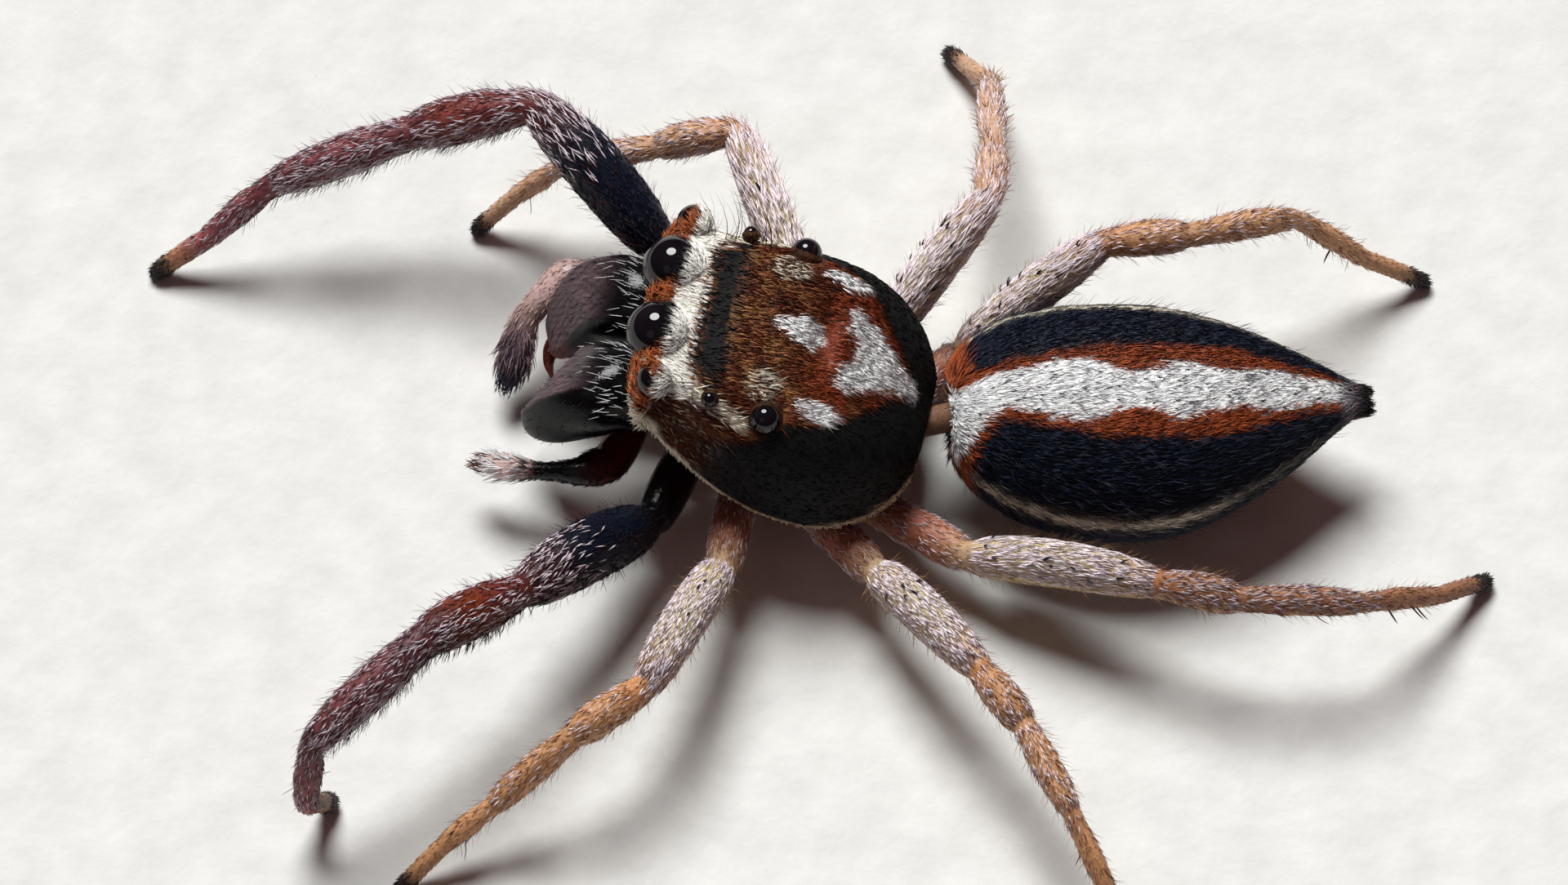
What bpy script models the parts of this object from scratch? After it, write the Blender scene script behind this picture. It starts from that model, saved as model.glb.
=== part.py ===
"""Male jovial jumping spider (Apricia jovialis), a still life-size model.

Sizes are in millimetres and are turned into metres when a mesh is made. The
spider stands on z = 0, faces -Y and has its left side at +X. The head part
(prosoma) is modelled in a frame of its own, x to its left, y to its rear and
z up, and is then set in the world turned, nose up and rolled a little. At
the end everything is moved so that its box is centred over the origin.
"""
from math import asin, cos, degrees, pi, radians, sin

import bmesh
import bpy
from mathutils import Matrix, Vector

MM = 0.001

# Thin cuts between the nodes, and the height at which the middle line of a
# leg ends. A foot is thicker than that, so it is cut flat at the floor.
GAP = 0.03
FOOT_CENTRE = 0.12
FOOT_REACH = 0.12

# Where the prosoma stands and how it is turned, in degrees.
PROSOMA_AT = Vector((-0.55, 0.05, 1.35))
PROSOMA_YAW = -8
PROSOMA_PITCH = -10
PROSOMA_ROLL = -2

# Carapace stations, front to rear: place along the body, half width, top
# and lower edge.
CARAPACE = (
    (-1.64, 0.78, 1.00, 0.48),
    (-1.56, 1.00, 1.08, 0.38),
    (-1.30, 1.12, 1.15, 0.14),
    (-0.90, 1.20, 1.17, -0.18),
    (-0.40, 1.30, 1.16, -0.42),
    (0.10, 1.36, 1.10, -0.50),
    (0.55, 1.33, 0.97, -0.50),
    (0.95, 1.16, 0.76, -0.44),
    (1.25, 0.88, 0.50, -0.36),
    (1.43, 0.54, 0.28, -0.27),
)
# The sides spread this much towards the rim; the widest place lies this far
# up from the lower edge; below it the outline tucks in.
CARAPACE_FLARE = 0.11
CARAPACE_WIDEST = 0.25
CARAPACE_TUCK = 0.10
CARAPACE_SIDES = 28
CARAPACE_SQUARENESS = 3.4

# Eyes: centre on the spider's left side, radius, and sides of the ball.
EYES = {
    "front_middle": (Vector((0.41, -1.52, 0.98)), 0.32, 16),
    "front_side": (Vector((1.00, -1.44, 1.00)), 0.17, 12),
    "small_middle": (Vector((1.04, -0.84, 1.00)), 0.08, 8),
    "rear_side": (Vector((1.04, -0.24, 0.92)), 0.16, 12),
}

# Abdomen stations: share of the length, half width, height above and below
# the axis.
ABDOMEN_FRONT = Vector((-0.40, 1.65, 1.30))
ABDOMEN_REAR = Vector((-0.95, 5.75, 1.15))
ABDOMEN_BOW = Vector((0.10, 0.0, -0.15))
ABDOMEN = (
    (0.00, 0.44, 0.36, 0.34),
    (0.03, 0.70, 0.54, 0.52),
    (0.10, 0.98, 0.76, 0.74),
    (0.22, 1.21, 0.92, 0.90),
    (0.38, 1.32, 0.99, 0.95),
    (0.55, 1.27, 0.95, 0.92),
    (0.72, 1.00, 0.78, 0.74),
    (0.86, 0.65, 0.52, 0.50),
    (0.96, 0.34, 0.30, 0.28),
    (1.00, 0.22, 0.20, 0.20),
)
ABDOMEN_SIDES = 24
# Spinnerets: how far behind the abdomen, and radius.
SPINNERETS = ((GAP, 0.18), (0.10, 0.17), (0.20, 0.10))
SPINNERET_SIDES = 12

# Legs. Hips lie below the carapace, in the prosoma's frame, on the left.
HIPS = {
    1: Vector((0.58, -0.85, -0.82)),
    2: Vector((0.70, -0.25, -0.82)),
    3: Vector((0.70, 0.38, -0.82)),
    4: Vector((0.52, 0.98, -0.80)),
}
# Each leg's length beyond its trochanter, and the share of it that its
# femur, patella, tibia, metatarsus and tarsus take.
LEG_LENGTHS = {1: 6.6, 2: 5.2, 3: 5.4, 4: 6.2}
FRONT_SHARES = (0.31, 0.20, 0.24, 0.15, 0.10)
SECOND_SHARES = (0.38, 0.17, 0.21, 0.13, 0.11)
REAR_SHARES = (0.34, 0.14, 0.20, 0.19, 0.13)
SEGMENT_SHARES = {1: FRONT_SHARES, 2: SECOND_SHARES, 3: REAR_SHARES, 4: REAR_SHARES}
# Half thickness with the hair: at the hip, trochanter, mid femur, knee,
# mid patella, mid tibia, ankle and toe.
SEGMENT_RADII = {
    1: (0.31, 0.30, 0.38, 0.30, 0.31, 0.30, 0.26, 0.25),
    2: (0.28, 0.27, 0.31, 0.26, 0.28, 0.27, 0.25, 0.25),
    3: (0.28, 0.27, 0.31, 0.26, 0.28, 0.27, 0.25, 0.25),
    4: (0.28, 0.27, 0.31, 0.26, 0.28, 0.27, 0.25, 0.25),
}
# How each leg is held: the length of its coxa with the trochanter, then the
# swing and lift, in degrees, of coxa, femur, patella, tibia, metatarsus and
# tarsus. Swing is 0 straight ahead, 90 straight out and 180 straight back;
# lift is up from level. The tarsus has no lift here: it ends at the floor.
LEG_POSES = {
    "right_1": (1.2, (60, 30), (40, 25), (-5, -20), (-15, -20), (-25, -40), (-20, None)),
    "right_2": (0.8, (115, 5), (60, 35), (0, -25), (-5, -20), (-10, -45), (-20, None)),
    "right_3": (0.8, (135, 10), (135, 40), (90, -20), (85, -15), (85, -55), (50, None)),
    "right_4": (1.1, (135, 0), (160, 45), (170, 0), (155, -15), (170, -50), (170, None)),
    "left_1": (0.9, (70, 0), (50, 25), (45, 20), (45, -15), (60, -80), (-120, None)),
    "left_2": (1.2, (85, 10), (70, 15), (40, -5), (35, -30), (35, -25), (40, None)),
    "left_3": (1.3, (130, 10), (130, 15), (130, -5), (120, -5), (125, -35), (120, None)),
    "left_4": (1.4, (145, 10), (165, 15), (165, 10), (185, -5), (215, -35), (225, None)),
}
LEG_SIDES = 10

# Plates below the head: place along the body, half width, half thickness.
STERNUM_HEIGHT = -0.80
STERNUM = ((-0.62, 0.16, 0.14), (-0.50, 0.32, 0.20), (-0.10, 0.44, 0.23),
           (0.35, 0.42, 0.23), (0.80, 0.26, 0.20), (0.95, 0.12, 0.14))
MOUTH_HEIGHT = -0.92
MOUTH = ((-1.22, 0.34, 0.12), (-1.12, 0.40, 0.19), (-0.80, 0.30, 0.20), (-0.66, 0.22, 0.15))
PLATE_SIDES = 16

# The waist, from the rear of the head to the abdomen.
WAIST_START = Vector((0, 1.45 + GAP, -0.02))
WAIST_RADIUS = 0.20

# Chelicerae, fangs and palps, in the prosoma's frame on the left.
# Each stop holds a place, half width and half depth.
CHELICERA = (
    (Vector((0.46, -1.42, -0.10)), 0.38, 0.40),
    (Vector((0.54, -1.80, -0.05)), 0.46, 0.47),
    (Vector((0.58, -2.08, -0.25)), 0.46, 0.47),
    (Vector((0.55, -2.27, -0.60)), 0.41, 0.38),
    (Vector((0.50, -2.37, -0.88)), 0.31, 0.26),
    (Vector((0.47, -2.41, -1.02)), 0.23, 0.17),
)
# The front of each jaw is flat: the way this face looks on the left, and
# how far out along that way it lies.
JAW_FACE = Vector((-0.42, -0.88, 0.22))
JAW_FACE_AT = 1.86
JAW_SIDES = 16
FANG_SIDES = 8
FANG = (
    (Vector((0.49, -2.46, -1.07)), 0.12),
    (Vector((0.44, -2.47, -1.17)), 0.10),
    (Vector((0.32, -2.45, -1.24)), 0.08),
    (Vector((0.18, -2.38, -1.24)), 0.04),
)
# The palps run from beside the mouth to their tips, given as on the left.
PALPS = {
    "left": (Vector((0.45, -1.45, -0.80)), Vector((0.95, -1.60, -0.80)), Vector((1.15, -1.90, -0.80)),
             Vector((1.15, -2.35, -1.00)), Vector((1.05, -2.80, -1.25))),
    "right": (Vector((0.45, -1.45, -0.80)), Vector((1.10, -1.90, -0.85)), Vector((1.15, -2.50, -0.75)),
              Vector((0.70, -2.80, -1.05)), Vector((0.15, -2.80, -1.40))),
}
PALP_RADIUS = 0.25

COLOURS = {
    "carapace": ((0.10, 0.035, 0.02, 1.0), 0.7),
    "abdomen": ((0.30, 0.12, 0.06, 1.0), 0.8),
    "underside": ((0.25, 0.12, 0.07, 1.0), 0.7),
    "black": ((0.012, 0.010, 0.012, 1.0), 0.25),
    "eye": ((0.006, 0.006, 0.009, 1.0), 0.05),
    "dark_leg": ((0.05, 0.018, 0.018, 1.0), 0.6),
    "pale_leg": ((0.52, 0.28, 0.16, 1.0), 0.7),
    "palp": ((0.10, 0.04, 0.03, 1.0), 0.5),
}


def clear_scene():
    for thing in list(bpy.data.objects):
        bpy.data.objects.remove(thing, do_unlink=True)


def material(name):
    colour, roughness = COLOURS[name]
    made = bpy.data.materials.get(name)
    if made is None:
        made = bpy.data.materials.new(name)
        made.use_nodes = True
        shader = made.node_tree.nodes["Principled BSDF"]
        shader.inputs["Base Color"].default_value = colour
        shader.inputs["Roughness"].default_value = roughness
        shader.inputs["Metallic"].default_value = 0.0
    return made


def prosoma_matrix():
    turn = Matrix.Rotation(radians(PROSOMA_YAW), 4, "Z")
    nose_up = Matrix.Rotation(radians(PROSOMA_PITCH), 4, "X")
    roll = Matrix.Rotation(radians(PROSOMA_ROLL), 4, "Y")
    return Matrix.Translation(PROSOMA_AT) @ turn @ nose_up @ roll


PROSOMA = prosoma_matrix()


def mirrored(place, side):
    return Vector((place.x * side, place.y, place.z))


def make_object(name, mesh_data, look):
    """Turn a bmesh in millimetres into an object in metres."""
    bmesh.ops.recalc_face_normals(mesh_data, faces=mesh_data.faces)
    bmesh.ops.scale(mesh_data, vec=(MM, MM, MM), verts=mesh_data.verts)
    mesh = bpy.data.meshes.new(name)
    mesh_data.to_mesh(mesh)
    mesh_data.free()
    made = bpy.data.objects.new(name, mesh)
    bpy.context.collection.objects.link(made)
    mesh.materials.append(material(look))
    mesh.shade_smooth()
    mesh.set_sharp_from_angle(angle=radians(50))
    return made


def loft(rings):
    """Join closed rings of equal count into one closed body."""
    body = bmesh.new()
    loops = [[body.verts.new(point) for point in ring] for ring in rings]
    count = len(rings[0])
    for first, second in zip(loops, loops[1:]):
        for i in range(count):
            j = (i + 1) % count
            body.faces.new((first[i], first[j], second[j], second[i]))
    body.faces.new(list(reversed(loops[0])))
    body.faces.new(loops[-1])
    bmesh.ops.triangulate(body, faces=body.faces)
    return body


def ring_around(centre, normal, across, up_size, side_size, count):
    """An oval ring in the plane of normal, its width along across."""
    normal = normal.normalized()
    side = (across - normal * across.dot(normal)).normalized()
    up = side.cross(normal)
    return [
        centre + side * (side_size * cos(2 * pi * i / count))
        + up * (up_size * sin(2 * pi * i / count))
        for i in range(count)
    ]


def heading(side, swing, lift):
    level = cos(radians(lift))
    return Vector((side * level * sin(radians(swing)), -level * cos(radians(swing)), sin(radians(lift))))


def tube(stops, count, across):
    """Round rings. Each stop is (place, radius, normal of its plane)."""
    return [ring_around(place, normal, across, radius, radius, count)
            for place, radius, normal in stops]


def leg_joints(name):
    """Places of the hip and the six joints of a leg, in the world."""
    side = 1 if name.startswith("left") else -1
    number = int(name[-1])
    coxa, *bends = LEG_POSES[name]
    lengths = [coxa] + [LEG_LENGTHS[number] * share for share in SEGMENT_SHARES[number]]
    joints = [PROSOMA @ mirrored(HIPS[number], side)]
    for length, (swing, lift) in zip(lengths, bends):
        if lift is None:
            drop = joints[-1].z - FOOT_CENTRE
            lift = -degrees(asin(min(1.0, drop / length)))
        joints.append(joints[-1] + heading(side, swing, lift) * length)
    return joints


def cut_normals(joints):
    """At each joint the normal of the plane that halves its bend."""
    ways = [(b - a).normalized() for a, b in zip(joints, joints[1:])]
    normals = [ways[0]]
    for before, after in zip(ways, ways[1:]):
        normals.append((before + after).normalized())
    normals.append(ways[-1])
    return ways, normals


def segment_stops(a, b, normal_a, normal_b, sizes, trim_a, trim_b):
    """Stops from joint a to joint b, with sizes as (share, radius) pairs."""
    way = (b - a).normalized()
    stops = []
    for share, radius in sizes:
        place = a.lerp(b, share)
        normal = way
        if share == 0.0:
            normal = normal_a
            place = place + normal_a * trim_a
        elif share == 1.0:
            normal = normal_b
            place = place - normal_b * trim_b
        stops.append((place, radius, normal))
    return stops


def build_leg(name):
    """Coxa, femur, patella with tibia, and foot, cut apart at the joints."""
    number = int(name[-1])
    hip, trochanter, femur, knee, patella, tibia, ankle, toe = SEGMENT_RADII[number]
    joints = leg_joints(name)
    ways, normals = cut_normals(joints)
    across = ways[1].cross(Vector((0, 0, 1))).normalized()
    look = "dark_leg" if number == 1 else "pale_leg"
    half = GAP / 2

    def stretch(i, sizes, trim_a, trim_b):
        return segment_stops(joints[i], joints[i + 1], normals[i], normals[i + 1], sizes, trim_a, trim_b)

    def body(stops):
        return loft(tube(stops, LEG_SIDES, across))

    coxa = stretch(0, ((0.0, hip), (0.35, hip), (0.7, trochanter), (1.0, trochanter)), 0.0, half)
    make_object("leg_%s_coxa" % name, body(coxa), look)

    thigh = stretch(1, ((0.0, trochanter), (0.18, femur * 0.88), (0.45, femur), (0.75, femur * 0.92),
                        (1.0, knee)), half, half)
    make_object("leg_%s_femur" % name, body(thigh), look)

    shank = stretch(2, ((0.0, knee), (0.3, patella), (0.75, patella), (1.0, knee)), half, 0.0)
    shank += stretch(3, ((0.25, tibia), (0.65, tibia), (1.0, ankle)), 0.0, half)
    make_object("leg_%s_tibia" % name, body(shank), look)

    foot = stretch(4, ((0.0, ankle), (0.5, ankle), (1.0, toe)), half, 0.0)
    foot += stretch(5, ((0.5, toe), (1.0, toe)), 0.0, 0.0)
    end, radius, way = foot[-1]
    foot.append((end + way * FOOT_REACH, radius * 0.75, way))
    standing = body(foot)
    stand_flat(standing)
    make_object("leg_%s_foot" % name, standing, look)


def stand_flat(body):
    """Cut off what lies under the floor and close the cut with a flat."""
    geometry = body.verts[:] + body.edges[:] + body.faces[:]
    bmesh.ops.bisect_plane(body, geom=geometry, dist=1e-5, plane_co=(0, 0, 0),
                           plane_no=(0, 0, 1), clear_inner=True)
    rim = [edge for edge in body.edges if len(edge.link_faces) == 1]
    if rim:
        bmesh.ops.holes_fill(body, edges=rim, sides=0)
    bmesh.ops.triangulate(body, faces=body.faces)


def carapace_ring(y, half_width, top, bottom):
    """Domed above, steep at the sides and nearly flat below."""
    ring = []
    middle = bottom + CARAPACE_WIDEST * (top - bottom)
    power = 2.0 / CARAPACE_SQUARENESS
    for i in range(CARAPACE_SIDES):
        angle = 2 * pi * i / CARAPACE_SIDES
        c, s = cos(angle), sin(angle)
        x = half_width * abs(c) ** power * (1 if c >= 0 else -1)
        if s >= 0:
            z = middle + (top - middle) * abs(s) ** power
        else:
            z = middle - (middle - bottom) * abs(s) ** power
            x *= 1.0 - CARAPACE_TUCK * abs(s)
        x *= 1.0 + CARAPACE_FLARE * (top - z) / (top - bottom)
        ring.append(PROSOMA @ Vector((x, y, z)))
    return ring


def ball(centre, radius, segments):
    body = bmesh.new()
    bmesh.ops.create_uvsphere(body, u_segments=segments, v_segments=segments // 2, radius=radius)
    bmesh.ops.translate(body, vec=centre, verts=body.verts)
    return body


def build_carapace_and_eyes():
    rings = [carapace_ring(*station) for station in CARAPACE]
    carapace = make_object("carapace", loft(rings), "carapace")
    for kind, (centre, radius, segments) in EYES.items():
        for label, side in (("left", 1), ("right", -1)):
            place = PROSOMA @ mirrored(centre, side)
            make_object("eye_%s_%s" % (kind, label), ball(place, radius, segments), "eye")
            cutter = make_object("socket_%s_%s" % (kind, label),
                                 ball(place, radius + GAP, segments), "eye")
            cutter.hide_render = True
            cutter.display_type = "WIRE"
            cut = carapace.modifiers.new("socket", "BOOLEAN")
            cut.operation = "DIFFERENCE"
            cut.solver = "EXACT"
            cut.object = cutter


def build_abdomen():
    rings = []
    way = (ABDOMEN_REAR - ABDOMEN_FRONT).normalized()
    across = Vector((way.y, -way.x, 0)).normalized()
    up = across.cross(way)
    for share, half_width, above, below in ABDOMEN:
        centre = ABDOMEN_FRONT.lerp(ABDOMEN_REAR, share)
        centre = centre + ABDOMEN_BOW * sin(pi * share)
        ring = []
        for i in range(ABDOMEN_SIDES):
            angle = 2 * pi * i / ABDOMEN_SIDES
            height = above if sin(angle) >= 0 else below
            ring.append(centre + across * (half_width * cos(angle)) + up * (height * sin(angle)))
        rings.append(ring)
    make_object("abdomen", loft(rings), "abdomen")
    rings = [ring_around(ABDOMEN_REAR + way * behind, way, across, radius, radius, SPINNERET_SIDES)
             for behind, radius in SPINNERETS]
    make_object("spinnerets", loft(rings), "black")


def build_plate(name, stations, height):
    """A flat oval plate under the head."""
    rings = []
    for y, half_width, thickness in stations:
        ring = ring_around(Vector((0, y, height)), Vector((0, 1, 0)), Vector((1, 0, 0)),
                           thickness, half_width, PLATE_SIDES)
        rings.append([PROSOMA @ point for point in ring])
    make_object(name, loft(rings), "underside")


def build_underside():
    """Sternum, mouthparts and the thin waist."""
    build_plate("sternum", STERNUM, STERNUM_HEIGHT)
    build_plate("mouthparts", MOUTH, MOUTH_HEIGHT)
    front = PROSOMA @ WAIST_START
    way = (ABDOMEN_FRONT - front).normalized()
    rings = [ring_around(place, way, Vector((1, 0, 0)), WAIST_RADIUS, WAIST_RADIUS, PLATE_SIDES)
             for place in (front, ABDOMEN_FRONT - way * GAP)]
    make_object("pedicel", loft(rings), "underside")


def flatten_face(point, side):
    """Push a point of a jaw back onto its flat front face."""
    face = mirrored(JAW_FACE, side)
    beyond = face.dot(point) - JAW_FACE_AT
    return point - face * max(0.0, beyond)


def build_jaws():
    """The basal segment and the fang of each chelicera."""
    for label, side in (("left", 1), ("right", -1)):
        places = [mirrored(place, side) for place, wide, deep in CHELICERA]
        normals = cut_normals(places)[1]
        rings = []
        for place, normal, (_, wide, deep) in zip(places, normals, CHELICERA):
            ring = ring_around(place, normal, Vector((1, 0, 0)), deep, wide, JAW_SIDES)
            rings.append([PROSOMA @ flatten_face(point, side) for point in ring])
        make_object("chelicera_%s" % label, loft(rings), "black")

        places = [PROSOMA @ mirrored(place, side) for place, radius in FANG]
        normals = cut_normals(places)[1]
        rings = [ring_around(place, normal, Vector((0, 0, 1)), radius, radius, FANG_SIDES)
                 for place, normal, (_, radius) in zip(places, normals, FANG)]
        make_object("fang_%s" % label, loft(rings), "black")


def build_palps():
    """Each palp is an arm of three stretches and a tip cut from it."""
    for label, side in (("left", 1), ("right", -1)):
        places = [PROSOMA @ mirrored(place, side) for place in PALPS[label]]
        ways, normals = cut_normals(places)
        across = ways[1].cross(Vector((0, 0, 1))).normalized()
        even = ((0.0, PALP_RADIUS), (0.5, PALP_RADIUS))
        arm = segment_stops(places[0], places[1], normals[0], normals[1], even, 0.0, 0.0)
        arm += segment_stops(places[1], places[2], normals[1], normals[2], even, 0.0, 0.0)
        arm += segment_stops(places[2], places[3], normals[2], normals[3],
                             even + ((1.0, PALP_RADIUS),), 0.0, GAP / 2)
        make_object("palp_%s_arm" % label, loft(tube(arm, LEG_SIDES, across)), "palp")
        tip = segment_stops(places[3], places[4], normals[3], ways[3],
                            ((0.0, PALP_RADIUS), (0.4, PALP_RADIUS * 1.08), (0.8, PALP_RADIUS),
                             (1.0, PALP_RADIUS * 0.6)), GAP / 2, 0.0)
        make_object("palp_%s_tip" % label, loft(tube(tip, LEG_SIDES, across)), "palp")


def centre_on_origin():
    """Move everything so that the whole box is centred over the origin."""
    things = bpy.data.objects
    places = [vertex.co for thing in things for vertex in thing.data.vertices]
    middle_x = (min(p.x for p in places) + max(p.x for p in places)) / 2
    middle_y = (min(p.y for p in places) + max(p.y for p in places)) / 2
    for thing in things:
        thing.data.transform(Matrix.Translation((-middle_x, -middle_y, 0)))


clear_scene()
build_carapace_and_eyes()
build_underside()
build_abdomen()
build_jaws()
build_palps()
for leg in LEG_POSES:
    build_leg(leg)
centre_on_origin()
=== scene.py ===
"""Looks of the jumping spider: one skin, its eyes and jaws, and a coat of solid hairs.

Sizes are in millimetres, as in the part, and are turned into metres when a mesh
is made. Each limb or body part is a shell: a closed tube of rings. Hairs are
scattered over the shells and take their colours from the same functions as the
skin, so skin and coat carry the same markings.
"""
from collections import namedtuple
from math import asin, cos, degrees, pi, radians, sin

import bpy
import numpy as np
from mathutils import Matrix, Vector


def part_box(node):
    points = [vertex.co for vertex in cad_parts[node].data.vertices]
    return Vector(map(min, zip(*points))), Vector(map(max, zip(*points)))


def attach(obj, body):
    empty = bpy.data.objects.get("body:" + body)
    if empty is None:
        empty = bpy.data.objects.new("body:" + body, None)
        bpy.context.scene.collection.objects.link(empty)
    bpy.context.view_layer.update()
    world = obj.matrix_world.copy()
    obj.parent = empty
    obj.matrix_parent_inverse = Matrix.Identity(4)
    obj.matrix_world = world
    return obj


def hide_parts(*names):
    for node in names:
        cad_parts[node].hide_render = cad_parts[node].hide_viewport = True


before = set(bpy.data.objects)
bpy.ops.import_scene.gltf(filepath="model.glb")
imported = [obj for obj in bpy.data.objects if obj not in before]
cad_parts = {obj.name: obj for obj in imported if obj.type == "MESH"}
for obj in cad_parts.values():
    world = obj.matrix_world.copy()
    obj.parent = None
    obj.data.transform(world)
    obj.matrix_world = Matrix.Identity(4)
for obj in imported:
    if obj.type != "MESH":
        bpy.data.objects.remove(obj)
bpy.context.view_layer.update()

MM = 0.001
SIDES = {"left": 1, "right": -1}

# ---------------------------------------------------------------- body sizes
# Where the head part (prosoma) stands and how it is turned, in degrees.
PROSOMA_AT = Vector((-0.55, 0.05, 1.35))
PROSOMA_TURNS = ((-8, "Z"), (-10, "X"), (-2, "Y"))

# Carapace stations: place along the body, half width, top and lower edge.
CARAPACE_Y = (-1.64, -1.56, -1.30, -0.90, -0.40, 0.10, 0.55, 0.95, 1.25, 1.43)
CARAPACE_WIDE = (0.78, 1.00, 1.12, 1.20, 1.30, 1.36, 1.33, 1.16, 0.88, 0.54)
CARAPACE_TOP = (1.00, 1.08, 1.15, 1.17, 1.16, 1.10, 0.97, 0.76, 0.50, 0.28)
CARAPACE_LOW = (0.48, 0.38, 0.14, -0.18, -0.42, -0.50, -0.50, -0.44, -0.36, -0.27)
# Its sides spread towards the rim, its widest place lies this share of the way
# up, and its outline tucks in below. It is squarer than an oval, the more so
# below, and the skin lies this far inside the coat.
CARAPACE_FLARE = 0.11
CARAPACE_WIDEST = 0.25
CARAPACE_TUCK = 0.10
CARAPACE_SQUARENESS = 3.4
CARAPACE_LOW_POWER = 0.8
CARAPACE_COAT = 0.045
# The front face and the rear edge bulge this far, in rings of these shares.
FRONT_BULGE = 0.03
FRONT_RINGS = (0.04, 0.25, 0.5, 0.72, 0.88, 0.96)
REAR_BULGE = 0.04
REAR_RINGS = (0.96, 0.85, 0.65, 0.4, 0.05)
# A shallow furrow lies on top, behind the rear eyes: place, depth, half sizes,
# and the least height that it takes in.
FURROW_AT = 0.12
FURROW_DEEP = 0.05
FURROW_LONG = 0.16
FURROW_WIDE = 0.30
FURROW_ABOVE = 0.6

# Eyes on the left: centre in the head's frame, radius, and way it looks.
EYES = {
    "front_middle": ((0.41, -1.52, 0.98), 0.32, (0.10, -1.0, 0.20)),
    "front_side": ((1.00, -1.44, 1.00), 0.17, (0.45, -0.8, 0.35)),
    "small_middle": ((1.04, -0.84, 1.00), 0.08, (0.8, -0.2, 0.5)),
    "rear_side": ((1.04, -0.24, 0.92), 0.16, (0.8, 0.1, 0.6)),
}
# How far round from its look an eye is bare, in degrees, and how thick the
# skin is over the rest of it.
EYE_BARE = {"front_middle": 98, "front_side": 76, "small_middle": 80, "rear_side": 84}
HOOD = 0.016
HOOD_REAR = 172

# Abdomen stations: share of its length, half width, height above and below.
ABDOMEN_FRONT = np.array((-0.40, 1.65, 1.30))
ABDOMEN_REAR = np.array((-0.95, 5.75, 1.15))
ABDOMEN_BOW = np.array((0.10, 0.0, -0.15))
ABDOMEN_SHARE = (0.0, 0.03, 0.10, 0.22, 0.38, 0.55, 0.72, 0.86, 0.96, 1.0)
ABDOMEN_WIDE = (0.44, 0.70, 0.98, 1.21, 1.32, 1.27, 1.00, 0.65, 0.34, 0.22)
ABDOMEN_ABOVE = (0.36, 0.54, 0.76, 0.92, 0.99, 0.95, 0.78, 0.52, 0.30, 0.20)
ABDOMEN_BELOW = (0.34, 0.52, 0.74, 0.90, 0.95, 0.92, 0.74, 0.50, 0.28, 0.20)
ABDOMEN_COAT = 0.035
ABDOMEN_ROLL = 10
# Spinnerets: place across and up, radius and length. Their roots lie in the
# abdomen, and they spread and thin out towards their tips.
SPINNERETS = {
    "left_low": (0.08, -0.06, 0.095, 0.13),
    "right_low": (-0.08, -0.06, 0.095, 0.13),
    "left_high": (0.06, 0.05, 0.090, 0.12),
    "right_high": (-0.06, 0.05, 0.090, 0.12),
    "tubercle": (0.0, 0.09, 0.07, 0.09),
}
SPINNERET_ROOT = 0.10
SPINNERET_SPREAD = 0.3
SPINNERET_TAPER = 0.35
# The waist, from the rear of the head to a little inside the abdomen.
WAIST_START = (0, 1.30, -0.02)
WAIST_INSIDE = (0, 0.15, 0)
WAIST_RADIUS = 0.15

HIPS = {
    1: (0.58, -0.85, -0.82),
    2: (0.70, -0.25, -0.82),
    3: (0.70, 0.38, -0.82),
    4: (0.52, 0.98, -0.80),
}
# Each leg's length beyond its trochanter, and the share of it that its
# femur, patella, tibia, metatarsus and tarsus take.
LEG_LENGTHS = {1: 6.6, 2: 5.2, 3: 5.4, 4: 6.2}
FRONT_SHARES = (0.31, 0.20, 0.24, 0.15, 0.10)
SECOND_SHARES = (0.38, 0.17, 0.21, 0.13, 0.11)
REAR_SHARES = (0.34, 0.14, 0.20, 0.19, 0.13)
SEGMENT_SHARES = {1: FRONT_SHARES, 2: SECOND_SHARES, 3: REAR_SHARES, 4: REAR_SHARES}
# Length of coxa with trochanter, then swing and lift of all six stretches.
# The last has no lift, because it ends at the height of the feet.
LEG_POSES = {
    "right_1": (1.2, (60, 30), (40, 25), (-5, -20), (-15, -20), (-25, -40), (-20, None)),
    "right_2": (0.8, (115, 5), (60, 35), (0, -25), (-5, -20), (-10, -45), (-20, None)),
    "right_3": (0.8, (135, 10), (135, 40), (90, -20), (85, -15), (85, -55), (50, None)),
    "right_4": (1.1, (135, 0), (160, 45), (170, 0), (155, -15), (170, -50), (170, None)),
    "left_1": (0.9, (70, 0), (50, 25), (45, 20), (45, -15), (60, -80), (-120, None)),
    "left_2": (1.2, (85, 10), (70, 15), (40, -5), (35, -30), (35, -25), (40, None)),
    "left_3": (1.3, (130, 10), (130, 15), (130, -5), (120, -5), (125, -35), (120, None)),
    "left_4": (1.4, (145, 10), (165, 15), (165, 10), (185, -5), (215, -35), (225, None)),
}
FOOT_CENTRE = 0.12
# Half thickness of the bare leg. A place on a leg counts its segments from
# the hip: 0 to 1 is the coxa, 1 to 2 the femur and 5 to 6 the tarsus.
LEG_PLACES = (0.0, 0.5, 0.92, 1.0, 1.15, 1.5, 1.85, 2.0, 2.4,
              2.9, 3.0, 3.45, 3.9, 4.0, 4.5, 5.0, 5.6, 6.0)
LEG_RADII = {
    "thick": (0.24, 0.25, 0.22, 0.20, 0.28, 0.34, 0.28, 0.21, 0.26,
              0.24, 0.21, 0.235, 0.18, 0.15, 0.15, 0.12, 0.11, 0.09),
    "thin": (0.22, 0.22, 0.20, 0.18, 0.225, 0.25, 0.215, 0.17, 0.195,
             0.175, 0.15, 0.165, 0.135, 0.115, 0.12, 0.10, 0.095, 0.08),
}
LEG_BOW = (0.0, 0.05, 0.03, 0.02, 0.02, 0.02)
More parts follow.
